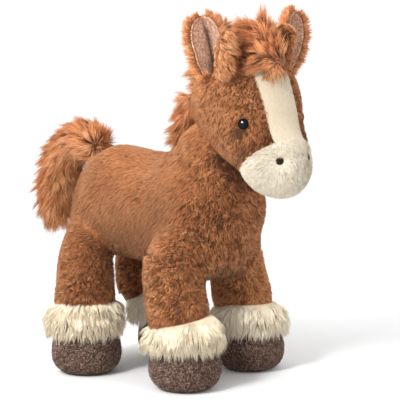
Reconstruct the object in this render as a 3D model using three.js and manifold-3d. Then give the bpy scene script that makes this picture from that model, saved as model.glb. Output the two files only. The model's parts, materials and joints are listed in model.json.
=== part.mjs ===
// A stuffed toy horse that stands on four round hooves, with its head turned a little to its right.
// Millimetres. +Z is up, the horse faces -Y and its left side is +X. The floor is at z = 0.
import * as THREE from 'three';
import { mergeVertices } from 'three/addons/utils/BufferGeometryUtils.js';
import Module from 'manifold-3d';

const wasm = await Module();
wasm.setup();

// Cloth, seams and clearances
const seamGap = 0.3; // between two pieces that are sewn or laid together
const swingGap = 0.4; // round a limb that moves
const plushWall = 3; // short plush: backing cloth and pressed pile
const bootWall = 2.2; // looped hoof cloth
const boxMiddleY = -2.5; // the middle of the toy's length, ahead of the middle of its stance

// Trunk, a barrel along Y
const trunkLength = 168;
const trunkRearY = 88;
const trunkWidth = 100;
const trunkAxisRise = 35; // the barrel's axis over the hips
const trunkBackRise = 46; // from the axis to the back
const trunkBellyDrop = 54; // from the axis to the underside
const trunkRumpRound = 46;
const trunkChestRound = 42;
const gussetWidth = 34; // belly panel between the side panels
const gussetDrop = 12; // its ends under the barrel's axis, at the chest and the rump

// Legs
const hipHeight = 98;
const hipSpread = 44; // from the middle plane to a leg's axis
const foreHipInset = 46; // from the trunk's chest end to the fore legs' axis
const hindHipInset = 36; // from its rump end to the hind legs' axis
const legTopRadius = 20.5;
const legRadius = 22;
const legSwing = 12; // degrees each way from the stance
const legInTrunk = 34; // the upper stretch that the trunk makes way for
const legLean = { fore_right: 11.5, fore_left: 13, hind_right: -2, hind_left: 17.5 }; // degrees, foot ahead

// Hooves and the fluffy fetlock bands over them
const hoofRadius = 28.5;
const hoofHeight = 41;
const hoofSoleRadius = 21;
const hoofMouthRadius = 22.5;
const hoofAhead = 3.5; // hoof's middle ahead of the leg's lower end
const fetlockRadius = 33;
const fetlockTop = 13; // top of the band over the hoof's mouth
const fetlockDrop = 17; // foot of the band under the hoof's mouth

// Neck
const neckPivotRise = 48; // the neck's base over the hips
const neckPivotY = -38;
const neckBaseRadius = 42;
const neckWaistRadius = 33;
const neckTopRadius = 28;
const neckTopY = -57; // the upright axis that the head turns about
const neckTopRise = 86; // top of the neck, inside the head, over its base
const collarLength = 49; // the neck's top stretch, round about the turning axis
const collarLap = 8; // how far the lower stretch runs up into it
const bowRange = [-8, 3]; // degrees, nose up and nose down

// Head, along an axis from the poll down to the muzzle
const headTurnAtRest = -15; // degrees about the neck, towards the horse's right
const headTurnRange = [-20, 35]; // degrees from the rest pose
const headTilt = 4; // degrees that the right ear hangs lower than the left
const skullRise = 75; // the skull's centre over the neck's base
const skullAhead = 22; // ahead of the turning axis
const headSlope = 55; // degrees below level
const skullRadius = 42;
const skullBackRadius = 38;
const skullWidth = 88;
const muzzleReach = 57; // skull's centre to muzzle's centre
const muzzleRadius = 28.5;
const muzzleSeamReach = 52; // skull's centre to the muzzle's seam
const blazeTopWidth = 36;
const blazeMiddleWidth = 31.5;
const blazeLowWidth = 26;

// Eyes and nostrils, on the head's surface: distance along its axis past the skull's centre, and degrees
// from the side of the head towards the face
const eyeAlong = 30;
const eyeTurn = 31.5;
const eyeRadius = 4;
const eyeSink = 0.8; // how far the eye is pulled into the plush
const eyeShankRadius = 1.4;
const eyeShankLength = 8;
const washerRadius = 6.5;
const washerThickness = 1.4;
const washerSlack = 1.1; // between the plush and the washer
const buttonRim = 1; // height of a button's straight edge
const buttonSides = 12;
const nostrilPastMuzzle = 9;
const nostrilTurn = 53;
const nostrilRadius = 2.8;
const nostrilShankRadius = 1;
const nostrilShankLength = 5;

// Ears
const earSpread = 36.5; // from the middle plane to an ear's hinge
const earAhead = 5; // ahead of the skull's centre
const earLift = 22; // over the skull's centre
const earRoot = 8; // length below the hinge
const earLength = 47;
const earWidth = 31;
const earDepth = 13;
const earOutward = { left: 6, right: 20 }; // degrees that the opening faces outwards
const earSplay = { left: 22, right: 14 }; // degrees that the tip leans outwards
const earSwing = 15; // degrees each way
const liningThickness = 1.6;

// Tail
const tailRadius = 15;
const tailRootInset = 18; // ahead of the rump end
const tailRootRise = 42; // over the barrel's axis
const tailReach = 54; // its tip behind its root
const tailDrop = 62; // its tip under its root
const tailSwing = 15; // degrees each way

// Mane, in a neck and a head stretch, and forelock
const maneWidth = 24;
const neckManeLength = 50;
const neckManeReach = 22; // its foot behind the neck's top
const headManeLength = 56;
const headManeRise = 60; // its upper end over the skull's centre
const headManeBack = 15; // its upper end behind the skull's centre
const headManeSlope = 22; // degrees
const forelockLength = 58;
const forelockWidth = 46;
const forelockRise = 44; // its root over the skull's centre
const forelockBack = 6; // its root behind the skull's centre
const forelockSlope = 22; // degrees below level

const radians = THREE.MathUtils.degToRad;
const far = 400; // longer than the toy
const xAxis = new THREE.Vector3(1, 0, 0);

// Smooth value through stations [share, value, value, ...], level with its neighbours at each of them.
function between(stations, share) {
  const last = stations.length - 1;
  let i = 0;
  while (i < last - 1 && share > stations[i + 1][0]) i += 1;
  const span = stations[i + 1][0] - stations[i][0];
  const f = Math.min(Math.max((share - stations[i][0]) / span, 0), 1);
  const before = stations[Math.max(i - 1, 0)];
  const after = stations[Math.min(i + 2, last)];
  return stations[i].map((a, k) => {
    const b = stations[i + 1][k];
    const slopeA = ((b - before[k]) / (stations[i + 1][0] - before[0])) * span;
    const slopeB = ((after[k] - a) / (after[0] - stations[i][0])) * span;
    const ease = f * f * (3 - 2 * f);
    return a + (b - a) * ease + f * (1 - f) ** 2 * slopeA - f * f * (1 - f) * slopeB;
  });
}

// Half width, front and back depth of a stuffed form at a distance along it, round ends included.
function sectionOf({ length, startRound, endRound, stations }, along) {
  const [, wide, front, back] = between(stations, along / length);
  const shortOfStart = Math.max(startRound - along, 0) / startRound;
  const shortOfEnd = Math.max(along - (length - endRound), 0) / endRound;
  const swell = Math.sqrt(Math.max(1 - Math.max(shortOfStart, shortOfEnd) ** 2, 0));
  return { wide, front, back, swell };
}

// A stuffed form along its own +Z, or along a spine in the YZ plane: round at both ends, with a half width
// each side of its axis and its own half depth in front and behind at each station.
function softForm(form, inset = 0, coarse = 1) {
  const { length, startRound, endRound, spine } = form;
  const rings = Math.round(form.rings * coarse);
  const sides = Math.round((form.sides * coarse) / 2) * 2;
  const capRings = Math.max(Math.round(rings / 3), 2);
  const middleRings = Math.max(rings - 2 * capRings, 1);
  const places = [];
  const straight = length - startRound - endRound;
  const intoCap = (i) => 1 - Math.cos((Math.PI / 2) * (i / capRings));
  for (let i = 1; i <= capRings; i += 1) places.push(startRound * intoCap(i));
  for (let i = 1; i <= middleRings; i += 1) places.push(startRound + (straight * i) / (middleRings + 1));
  for (let i = capRings; i >= 1; i -= 1) places.push(length - endRound * intoCap(i));
  const points = [];
  const put = (x, y, along) => {
    const shrunk = inset + (along / length) * (length - 2 * inset);
    if (!spine) {
      points.push(x, y, shrunk);
      return;
    }
    const share = Math.min(Math.max(shrunk / length, 0), 1);
    const tangent = spine.getTangentAt(share);
    const outwards = new THREE.Vector3().crossVectors(tangent, xAxis);
    const past = tangent.multiplyScalar(shrunk - share * length);
    const point = spine.getPointAt(share).addScaledVector(outwards, y).add(past);
    points.push(point.x + x, point.y, point.z);
  };
  put(0, 0, 0);
  for (const along of places) {
    const { wide, front, back, swell } = sectionOf(form, along);
    for (let j = 0; j < sides; j += 1) {
      const turn = (2 * Math.PI * j) / sides;
      const depth = turn < Math.PI ? front : back;
      put(Math.cos(turn) * (wide - inset) * swell, Math.sin(turn) * (depth - inset) * swell, along);
    }
  }
  put(0, 0, length);
  const faces = [];
  const ring = (i, j) => 1 + i * sides + (j % sides);
  const tip = 1 + places.length * sides;
  for (let j = 0; j < sides; j += 1) {
    faces.push(0, ring(0, j + 1), ring(0, j));
    faces.push(tip, ring(places.length - 1, j), ring(places.length - 1, j + 1));
    for (let i = 0; i < places.length - 1; i += 1) {
      faces.push(ring(i, j), ring(i, j + 1), ring(i + 1, j));
      faces.push(ring(i + 1, j), ring(i, j + 1), ring(i + 1, j + 1));
    }
  }
  const geometry = new THREE.BufferGeometry();
  geometry.setAttribute('position', new THREE.Float32BufferAttribute(points, 3));
  geometry.setIndex(faces);
  return geometry;
}

// A smooth curve in the YZ plane through [y, z] points.
function spineThrough(points) {
  return new THREE.CatmullRomCurve3(points.map(([y, z]) => new THREE.Vector3(0, y, z)));
}

// The point on a placed form's surface at a distance along it and a turn from its side to its front, as a
// matrix whose +Z points out of the surface.
function seatOn(form, matrix, along, turnDegrees) {
  const pointAt = (distance, turn) => {
    const { wide, front, swell } = sectionOf(form, distance);
    const point = new THREE.Vector3(Math.cos(turn) * wide * swell, Math.sin(turn) * front * swell, distance);
    return point.applyMatrix4(matrix);
  };
  const turn = radians(turnDegrees);
  const step = 0.01;
  const here = pointAt(along, turn);
  const acrossForm = pointAt(along, turn + step).sub(here).normalize();
  const alongForm = pointAt(along + step, turn).sub(here).normalize();
  const out = new THREE.Vector3().crossVectors(acrossForm, alongForm).normalize();
  const side = new THREE.Vector3().crossVectors(alongForm, out).normalize();
  const up = new THREE.Vector3().crossVectors(out, side);
  return new THREE.Matrix4().makeBasis(side, up, out).setPosition(here);
}

// A closed three.js geometry, placed by a matrix, as a solid that can be cut and joined.
function solid(geometry, matrix = new THREE.Matrix4()) {
  const bare = geometry.clone().applyMatrix4(matrix);
  bare.deleteAttribute('normal');
  bare.deleteAttribute('uv');
  const merged = mergeVertices(bare, 1e-4);
  const mesh = new wasm.Mesh({
    numProp: 3,
    vertProperties: new Float32Array(merged.attributes.position.array),
    triVerts: new Uint32Array(merged.index.array),
  });
  return new wasm.Manifold(mesh);
}

function move(x, y, z) {
  return new THREE.Matrix4().makeTranslation(x, y, z);
}

function turn(axis, degrees) {
  return new THREE.Matrix4().makeRotationAxis(new THREE.Vector3(...axis), radians(degrees));
}

function chain(...matrices) {
  return matrices.reduce((all, next) => all.multiply(next), new THREE.Matrix4());
}

// The same solid turned about an axis through a point.
function swung(shape, pivot, axis, degrees) {
  const { x, y, z } = pivot;
  return shape.transform(chain(move(x, y, z), turn(axis, degrees), move(-x, -y, -z)).elements);
}

function union(shapes) {
  return shapes.reduce((all, next) => all.add(next));
}

function cut(shape, ...cutters) {
  return cutters.reduce((left, cutter) => left.subtract(cutter), shape);
}

function mirrored(shape) {
  return shape.transform(new THREE.Matrix4().makeScale(-1, 1, 1).elements);
}

function block(x0, x1, y0, y1, z0, z1) {
  const box = new THREE.BoxGeometry(x1 - x0, y1 - y0, z1 - z0);
  return solid(box, move((x0 + x1) / 2, (y0 + y1) / 2, (z0 + z1) / 2));
}

// A faceted ball whose flats stay outside the given radius.
function ballRound(centre, radius, sides) {
  const sphere = new THREE.SphereGeometry(roundTo(roundTo(radius, sides), sides), sides, sides / 2);
  return solid(sphere, move(centre.x, centre.y, centre.z));
}

// A piece turned about +Z from [radius, height] points, lowest first, that starts and ends at radius 0.
function lathe(profile, sides, matrix) {
  const points = profile.map(([r, z]) => new THREE.Vector2(r, z));
  return solid(new THREE.LatheGeometry(points, sides).rotateX(Math.PI / 2), matrix);
}

// Radius of a faceted round whose flats lie at the given radius.
function roundTo(radius, sides) {
  return radius / Math.cos(Math.PI / sides);
}

const cloths = {
  chestnut: { color: 0xb2734b, roughness: 0.95 },
  longChestnut: { color: 0xc98552, roughness: 0.95 },
  cream: { color: 0xe8dec8, roughness: 0.95 },
  boot: { color: 0x5c4841, roughness: 0.95 },
  lining: { color: 0xa07869, roughness: 0.9 },
  filling: { color: 0xf3f1ec, roughness: 1 },
  pellets: { color: 0xd9d4c8, roughness: 0.8 },
  eye: { color: 0x0b0908, roughness: 0.08 },
  nostril: { color: 0x462d1e, roughness: 0.35 },
  washer: { color: 0xe6e6e2, roughness: 0.5 },
};

const horse = new THREE.Group();
horse.position.y = -boxMiddleY;
const headGroup = new THREE.Group();
headGroup.position.set(0, neckTopY, 0);
headGroup.rotation.z = radians(headTurnAtRest);
horse.add(headGroup);
const tiltPivotZ = hipHeight + neckPivotRise + skullRise;
const headTiltMatrix = chain(move(0, 0, tiltPivotZ), turn([0, 1, 0], -headTilt), move(0, 0, -tiltPivotZ));
const tiltedHead = new THREE.Group();
tiltedHead.applyMatrix4(headTiltMatrix);
headGroup.add(tiltedHead);

function addPiece(group, name, shape, cloth) {
  const { vertProperties, triVerts } = shape.getMesh();
  const geometry = new THREE.BufferGeometry();
  geometry.setAttribute('position', new THREE.BufferAttribute(new Float32Array(vertProperties), 3));
  geometry.setIndex(new THREE.BufferAttribute(new Uint32Array(triVerts), 1));
  geometry.computeVertexNormals();
  const mesh = new THREE.Mesh(geometry, new THREE.MeshStandardMaterial({ ...cloths[cloth], metalness: 0 }));
  mesh.name = name;
  group.add(mesh);
}

// Legs: each narrows a little from a rounded top at the hip, and stands level on its hoof.
const ankleHeight = hoofHeight + seamGap;
const legForm = {
  length: legTopRadius + (hipHeight - hoofHeight) * 1.3,
  startRound: legTopRadius,
  endRound: legRadius / 2,
  stations: [
    [0, legTopRadius, legTopRadius, legTopRadius],
    [0.5, legTopRadius, legTopRadius, legTopRadius],
    [1, legRadius, legRadius, legRadius],
  ],
  rings: 9,
  sides: 16,
};

function legMatrix({ hip, lean }) {
  return chain(move(hip.x, hip.y, hip.z), turn([1, 0, 0], 180 - lean));
}

function legShape(leg, inset, coarse) {
  return solid(softForm(legForm, inset, coarse), chain(legMatrix(leg), move(0, 0, -legTopRadius)));
}

const legs = Object.entries(legLean).map(([name, lean]) => {
  const side = name.endsWith('right') ? -1 : 1;
  const hipY = name.startsWith('fore') ? trunkRearY - trunkLength + foreHipInset : trunkRearY - hindHipInset;
  const hip = new THREE.Vector3(side * hipSpread, hipY, hipHeight);
  const footY = hip.y - (hipHeight - ankleHeight) * Math.tan(radians(lean));
  return { name, lean, hip, footY };
});

// What a swinging leg sweeps out of the trunk: its round top, and its upper stretch at three angles.
const cutterSides = 14;
function legSweep(leg) {
  const radius = roundTo(legTopRadius + swingGap, cutterSides);
  const shaft = new THREE.CylinderGeometry(radius, radius, legInTrunk, cutterSides).rotateX(Math.PI / 2);
  const upright = solid(shaft, chain(legMatrix(leg), move(0, 0, legInTrunk / 2)));
  const shafts = [-legSwing, 0, legSwing].map((angle) => swung(upright, leg.hip, [1, 0, 0], angle));
  return union([ballRound(leg.hip, legTopRadius + swingGap, cutterSides), ...shafts]);
}

const legSweeps = union(legs.map(legSweep));

// Neck: a leaning form from the ball at its base, and a collar that is round about the head's turning axis.
const neckPivot = new THREE.Vector3(0, neckPivotY, hipHeight + neckPivotRise);
const neckTop = neckPivot.z + neckTopRise;
const collarFoot = neckTop - collarLength;
const collarDome = neckTopRadius * 0.8;
const neckLean = Math.atan2(neckPivotY - neckTopY, neckTopRise - collarDome);
const neckForm = {
  length: neckBaseRadius + neckTopRise - collarLength + collarLap,
  startRound: neckBaseRadius,
  endRound: 16,
  stations: [
    [0, neckBaseRadius, neckBaseRadius, neckBaseRadius],
    [0.5, neckBaseRadius, neckBaseRadius, neckBaseRadius],
    [0.8, neckWaistRadius + 2, neckWaistRadius, neckWaistRadius + 4],
    [1, neckTopRadius, neckTopRadius, neckTopRadius],
  ],
  rings: 10,
  sides: 20,
};
const neckMatrix = chain(
  move(neckPivot.x, neckPivot.y, neckPivot.z),
  new THREE.Matrix4().makeRotationX(neckLean),
  move(0, 0, -neckBaseRadius),
);

// The neck's round top, about the turning axis as its own origin.
function collar(inset, foot) {
  const radius = neckTopRadius - inset;
  const shoulder = neckTop - collarDome;
  const profile = [[0, foot], [radius, foot], [radius, shoulder]];
  for (let i = 1; i < 4; i += 1) {
    const rise = (Math.PI / 2) * (i / 4);
    profile.push([radius * Math.cos(rise), shoulder + (collarDome - inset) * Math.sin(rise)]);
  }
  profile.push([0, neckTop - inset]);
  return lathe(profile, 20);
}

function neckShape(inset, coarse) {
  const leaning = solid(softForm(neckForm, inset, coarse), neckMatrix);
  return leaning.add(collar(inset, collarFoot - collarLap + inset).transform(move(0, neckTopY, 0).elements));
}

// What the bowing neck sweeps out of the trunk: the ball at its base, and its lower stretch at each limit.
function neckSweepAt(angle) {
  const low = roundTo(neckBaseRadius + swingGap, cutterSides);
  const high = roundTo(neckWaistRadius + 4 + swingGap, cutterSides);
  const length = neckPivotRise;
  const shaft = new THREE.CylinderGeometry(high, low, length, cutterSides).rotateX(Math.PI / 2);
  const upright = solid(shaft, chain(neckMatrix, move(0, 0, neckBaseRadius + length / 2)));
  return swung(upright, neckPivot, [1, 0, 0], angle);
}

const neckBall = ballRound(neckPivot, neckBaseRadius + swingGap, 16);
const neckSweep = union([neckBall, ...[bowRange[0], 0, bowRange[1]].map(neckSweepAt)]);

// Trunk: two side panels and the belly panel between them, round the stuffing.
const trunkAxisZ = hipHeight + trunkAxisRise;
const trunkForm = {
  length: trunkLength,
  startRound: trunkRumpRound,
  endRound: trunkChestRound,
  stations: [
    [0, trunkWidth * 0.46, trunkBackRise, trunkBellyDrop * 0.7],
    [0.23, trunkWidth * 0.48, trunkBackRise * 1.11, trunkBellyDrop * 0.74],
    [0.48, trunkWidth * 0.465, trunkBackRise, trunkBellyDrop * 0.85],
    [0.75, trunkWidth * 0.5, trunkBackRise * 0.96, trunkBellyDrop],
    [1, trunkWidth * 0.5, trunkBackRise * 0.87, trunkBellyDrop],
  ],
  rings: 12,
  sides: 20,
};
const trunkMatrix = chain(move(0, trunkRearY, trunkAxisZ), turn([1, 0, 0], 90));
const trunkOuter = solid(softForm(trunkForm), trunkMatrix);
const innerDetail = 0.7; // share of the facets that a hidden surface keeps
const trunkShell = cut(
  trunkOuter,
  solid(softForm(trunkForm, plushWall, innerDetail), trunkMatrix),
  legSweeps,
  neckSweep,
);
const halfSeam = seamGap / 2;
const gussetTop = trunkAxisZ - gussetDrop;
const gusset = block(-gussetWidth / 2, gussetWidth / 2, -far, far, 0, gussetTop);
const aroundGusset = gussetWidth / 2 + seamGap;
const gussetGap = block(-aroundGusset, aroundGusset, -far, far, 0, gussetTop + seamGap);
const leftSide = block(halfSeam, far, -far, far, 0, far);
const rightSide = block(-far, -halfSeam, -far, far, 0, far);
addPiece(horse, 'trunk_panel_left', cut(trunkShell.intersect(leftSide), gussetGap), 'chestnut');
addPiece(horse, 'trunk_panel_right', cut(trunkShell.intersect(rightSide), gussetGap), 'chestnut');
addPiece(horse, 'belly_panel', trunkShell.intersect(gusset), 'chestnut');
const trunkStuffing = solid(softForm(trunkForm, plushWall + seamGap, innerDetail), trunkMatrix);
addPiece(horse, 'trunk_filling', cut(trunkStuffing, legSweeps, neckSweep), 'filling');

// Neck
const neckHem = block(-far, far, -far, far, 0, neckPivot.z - neckBaseRadius / 3);
const neckMouth = block(-far, far, -far, far, neckTop - collarDome, far);
const neckSleeve = cut(neckShape(0), neckShape(plushWall, innerDetail), neckHem, neckMouth);
addPiece(horse, 'neck_cover', neckSleeve, 'chestnut');
addPiece(horse, 'neck_filling', neckShape(plushWall + seamGap, innerDetail), 'filling');

// The mane's lower stretch stands on the back of the neck.
const napeY = neckTopY + neckTopRadius;
const neckManeSpine = spineThrough([
  [napeY + neckManeReach * 0.1, neckTop - neckManeLength * 0.04],
  [napeY + neckManeReach * 0.24, neckTop - neckManeLength * 0.44],
  [napeY + neckManeReach * 0.6, neckTop - neckManeLength * 0.76],
  [napeY + neckManeReach, neckTop - neckManeLength],
]);
const neckManeForm = {
  length: neckManeSpine.getLength(),
  startRound: 6,
  endRound: 9,
  stations: [
    [0, maneWidth * 0.46, maneWidth * 0.29, maneWidth * 0.38],
    [0.4, maneWidth * 0.5, maneWidth * 0.33, maneWidth * 0.38],
    [0.8, maneWidth * 0.46, maneWidth * 0.38, maneWidth * 0.38],
    [1, maneWidth * 0.33, maneWidth * 0.25, maneWidth * 0.25],
  ],
  spine: neckManeSpine,
  rings: 9,
  sides: 12,
};
// Head, with the turning axis as its origin. The form's +Z runs from the poll to the muzzle, and +Y is its
// face side.
const skull = new THREE.Vector3(0, -skullAhead, neckPivot.z + skullRise);
const headForm = {
  length: skullRadius + muzzleReach + muzzleRadius,
  startRound: skullRadius,
  endRound: muzzleRadius,
  stations: [
    [0, skullWidth * 0.46, skullRadius, skullBackRadius],
    [0.33, skullWidth * 0.5, skullRadius, skullBackRadius],
    [0.55, skullWidth * 0.43, skullRadius * 0.83, skullBackRadius * 0.94],
    [0.68, muzzleRadius * 1.1, muzzleRadius * 1.02, muzzleRadius * 1.02],
    [0.78, muzzleRadius * 1.03, muzzleRadius, muzzleRadius * 0.92],
    [1, muzzleRadius * 0.95, muzzleRadius * 0.95, muzzleRadius * 0.8],
  ],
  rings: 13,
  sides: 20,
};
const slope = radians(headSlope);
const headAxes = new THREE.Matrix4().makeBasis(
  new THREE.Vector3(1, 0, 0),
  new THREE.Vector3(0, -Math.sin(slope), Math.cos(slope)),
  new THREE.Vector3(0, -Math.cos(slope), -Math.sin(slope)),
);
const headMatrix = chain(move(skull.x, skull.y, skull.z), headAxes, move(0, 0, -skullRadius));
const headOuter = solid(softForm(headForm), headMatrix);
const headClear = solid(softForm(headForm, -swingGap), headMatrix);
const socket = collar(-swingGap, hipHeight).transform(headTiltMatrix.clone().invert().elements);

// The mane's lower stretch makes way for the turning head, and for the trunk when the neck bows back.
function headTurned(share) {
  const angle = headTurnAtRest + THREE.MathUtils.lerp(...headTurnRange, share);
  return headClear.transform(chain(move(0, neckTopY, 0), turn([0, 0, 1], angle), headTiltMatrix).elements);
}

const neckMane = cut(
  solid(softForm(neckManeForm)),
  neckShape(-seamGap),
  swung(trunkOuter, neckPivot, [1, 0, 0], 1 - bowRange[0]),
  ...[0, 0.25, 0.5, 0.75, 1].map(headTurned),
);
addPiece(horse, 'mane_neck', neckMane, 'longChestnut');

// Eyes are domes on shanks that lock washers hold inside. Nostrils are small sewn-on buttons.
const eyeSeat = chain(seatOn(headForm, headMatrix, skullRadius + eyeAlong, eyeTurn), move(0, 0, -eyeSink));
const nostrilSeat = seatOn(headForm, headMatrix, skullRadius + muzzleReach + nostrilPastMuzzle, nostrilTurn);
const washerDepth = plushWall + washerSlack;

function button(radius, shankRadius, shankLength, gap, matrix) {
  const flange = -buttonRim - gap;
  const profile = [
    [0, -shankLength - gap],
    [shankRadius + gap, -shankLength - gap],
    [shankRadius + gap, flange],
    [radius + gap, flange],
    [radius + gap, 0],
    [radius * 0.86 + gap, radius * 0.4],
    [radius * 0.5 + gap, radius * 0.68 + gap],
    [0, radius * 0.8 + gap],
  ];
  return lathe(profile, buttonSides, matrix);
}

const eye = button(eyeRadius, eyeShankRadius, eyeShankLength, 0, eyeSeat);
const eyePocket = button(eyeRadius, eyeShankRadius, eyeShankLength, seamGap, eyeSeat);
const nostril = button(nostrilRadius, nostrilShankRadius, nostrilShankLength, 0, nostrilSeat);
const nostrilPocket = button(nostrilRadius, nostrilShankRadius, nostrilShankLength, seamGap, nostrilSeat);

function disc(radius, gap) {
  const low = -washerDepth - washerThickness - gap;
  const high = -washerDepth + gap;
  return lathe([[0, low], [radius + gap, low], [radius + gap, high], [0, high]], buttonSides, eyeSeat);
}

const washer = cut(disc(washerRadius, 0), eyePocket);
const washerPocket = disc(washerRadius, seamGap);
const facePockets = [eyePocket, nostrilPocket, mirrored(eyePocket), mirrored(nostrilPocket)];

// Head panels: a cup of cream plush for the muzzle, a blaze strip down the face, and a cheek on each side.
const headShell = cut(
  headOuter,
  solid(softForm(headForm, plushWall, innerDetail), headMatrix),
  socket,
  ...facePockets,
);
const seamAlong = skullRadius + muzzleSeamReach;
const muzzleSide = block(-far, far, -far, far, seamAlong + halfSeam, far).transform(headMatrix.elements);
const faceSide = block(-far, far, -far, far, -far, seamAlong - halfSeam).transform(headMatrix.elements);

// A prism through the face in the blaze's outline, wide at the forelock and narrower at the muzzle.
function blazeBlock(gap) {
  const top = skullRadius * 0.45 - gap;
  const low = seamAlong + 1;
  const stations = [
    [0, blazeTopWidth / 2],
    [0.45, blazeMiddleWidth / 2],
    [1, blazeLowWidth / 2],
  ];
  const edge = [0, 0.25, 0.5, 0.75, 1].map((share) => {
    const [, half] = between(stations, share);
    return new THREE.Vector2(half + gap, -(top + (low - top) * share));
  });
  const otherEdge = edge.map(({ x, y }) => new THREE.Vector2(-x, y)).reverse();
  const outline = new THREE.Shape([...edge, ...otherEdge]);
  const prism = new THREE.ExtrudeGeometry(outline, { depth: far, bevelEnabled: false });
  return solid(prism, chain(headMatrix, turn([1, 0, 0], -90)));
}

const cheeks = cut(headShell.intersect(faceSide), blazeBlock(seamGap));
addPiece(tiltedHead, 'cheek_panel_left', cheeks.intersect(leftSide), 'chestnut');
addPiece(tiltedHead, 'cheek_panel_right', cheeks.intersect(rightSide), 'chestnut');
addPiece(tiltedHead, 'blaze_panel', headShell.intersect(faceSide).intersect(blazeBlock(0)), 'cream');
addPiece(tiltedHead, 'muzzle_cover', headShell.intersect(muzzleSide), 'cream');
const headStuffing = solid(softForm(headForm, plushWall + seamGap, innerDetail), headMatrix);
const headHoles = [socket, ...facePockets, washerPocket, mirrored(washerPocket)];
addPiece(tiltedHead, 'head_filling', cut(headStuffing, ...headHoles), 'filling');
addPiece(tiltedHead, 'eye_left', eye, 'eye');
addPiece(tiltedHead, 'eye_right', mirrored(eye), 'eye');
addPiece(tiltedHead, 'eye_washer_left', washer, 'washer');
addPiece(tiltedHead, 'eye_washer_right', mirrored(washer), 'washer');
addPiece(tiltedHead, 'nostril_left', nostril, 'nostril');
addPiece(tiltedHead, 'nostril_right', mirrored(nostril), 'nostril');

// Ears: a leaf of plush with a hollow front, and the lining that lies in the hollow.
const earForm = {
  length: earRoot + earLength,
  startRound: earRoot,
  endRound: 12,
  stations: [
    [0, earWidth * 0.34, earDepth * 0.45, earDepth * 0.45],
    [0.3, earWidth * 0.46, earDepth * 0.55, earDepth * 0.5],
    [0.58, earWidth * 0.5, earDepth * 0.5, earDepth * 0.5],
    [0.82, earWidth * 0.38, earDepth * 0.42, earDepth * 0.42],
    [1, earWidth * 0.24, earDepth * 0.3, earDepth * 0.3],
  ],
  rings: 10,
  sides: 14,
};

function makeEar(name, side) {
  const hinge = new THREE.Vector3(side * earSpread, skull.y - earAhead, skull.z + earLift);
  const matrix = chain(
    move(hinge.x, hinge.y, hinge.z),
    turn([0, 1, 0], side * earSplay[name]),
    turn([0, 0, 1], 180 + side * earOutward[name]),
    move(0, 0, -earRoot),
  );
  const axis = new THREE.Vector3(1, 0, 0).transformDirection(matrix).toArray();
  const leaf = cut(
    solid(softForm(earForm), matrix),
    ...[-earSwing, 0, earSwing].map((angle) => swung(headClear, hinge, axis, angle)),
  );
  // An egg-shaped hollow in the ear's front, with its wall moved forwards or swollen.
  const hollow = (ahead, gap) => {
    const egg = new THREE.SphereGeometry(1, 12, 8);
    const halves = [earWidth * 0.38, earDepth * 0.6, earLength * 0.44].map((half) => half + gap);
    const size = new THREE.Matrix4().makeScale(...halves);
    return solid(egg, chain(matrix, move(0, earDepth * 0.55 + ahead, earRoot + earLength * 0.5), size));
  };
  const lining = cut(leaf.intersect(hollow(0, 0)), hollow(liningThickness, 0));
  addPiece(tiltedHead, 'ear_' + name, cut(leaf, hollow(0, seamGap)), 'chestnut');
  addPiece(tiltedHead, 'ear_lining_' + name, lining, 'lining');
  const swollen = solid(softForm(earForm, -swingGap, 0.8), matrix);
  return [-earSwing, 0, earSwing].map((angle) => swung(swollen, hinge, axis, angle));
}

const earSweeps = union([...makeEar('left', 1), ...makeEar('right', -1)]);

// The mane's upper stretch runs down the back of the head, and the forelock falls forward over the blaze.
const pollMane = {
  length: headManeLength,
  startRound: 10,
  endRound: 8,
  stations: [
    [0, maneWidth * 0.5, maneWidth * 0.42, maneWidth * 0.42],
    [0.5, maneWidth * 0.54, maneWidth * 0.42, maneWidth * 0.5],
    [1, maneWidth * 0.42, maneWidth * 0.33, maneWidth * 0.33],
  ],
  rings: 7,
  sides: 12,
};
const pollMatrix = chain(
  move(0, skull.y + headManeBack, skull.z + headManeRise),
  turn([1, 0, 0], 180 + headManeSlope),
);
const headSkin = solid(softForm(headForm, -seamGap), headMatrix);
const pollCrest = cut(solid(softForm(pollMane), pollMatrix), headSkin, earSweeps);
const overNeck = block(-far, far, -far, far, 0, neckTop + 1.5);
addPiece(tiltedHead, 'mane_poll', cut(pollCrest, overNeck), 'longChestnut');

const forelockForm = {
  length: forelockLength,
  startRound: 18,
  endRound: 20,
  stations: [
    [0, forelockWidth * 0.39, forelockWidth * 0.59, forelockWidth * 0.26],
    [0.35, forelockWidth * 0.5, forelockWidth * 0.67, forelockWidth * 0.3],
    [0.8, forelockWidth * 0.5, forelockWidth * 0.39, forelockWidth * 0.3],
    [1, forelockWidth * 0.39, forelockWidth * 0.26, forelockWidth * 0.22],
  ],
  rings: 9,
  sides: 16,
};
const forelockMatrix = chain(
  move(0, skull.y + forelockBack, skull.z + forelockRise),
  turn([1, 0, 0], 90 + forelockSlope),
);
const forelock = cut(
  solid(softForm(forelockForm), forelockMatrix),
  headSkin,
  solid(softForm(pollMane, -seamGap), pollMatrix),
  earSweeps,
);
addPiece(tiltedHead, 'forelock', forelock, 'longChestnut');

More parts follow.
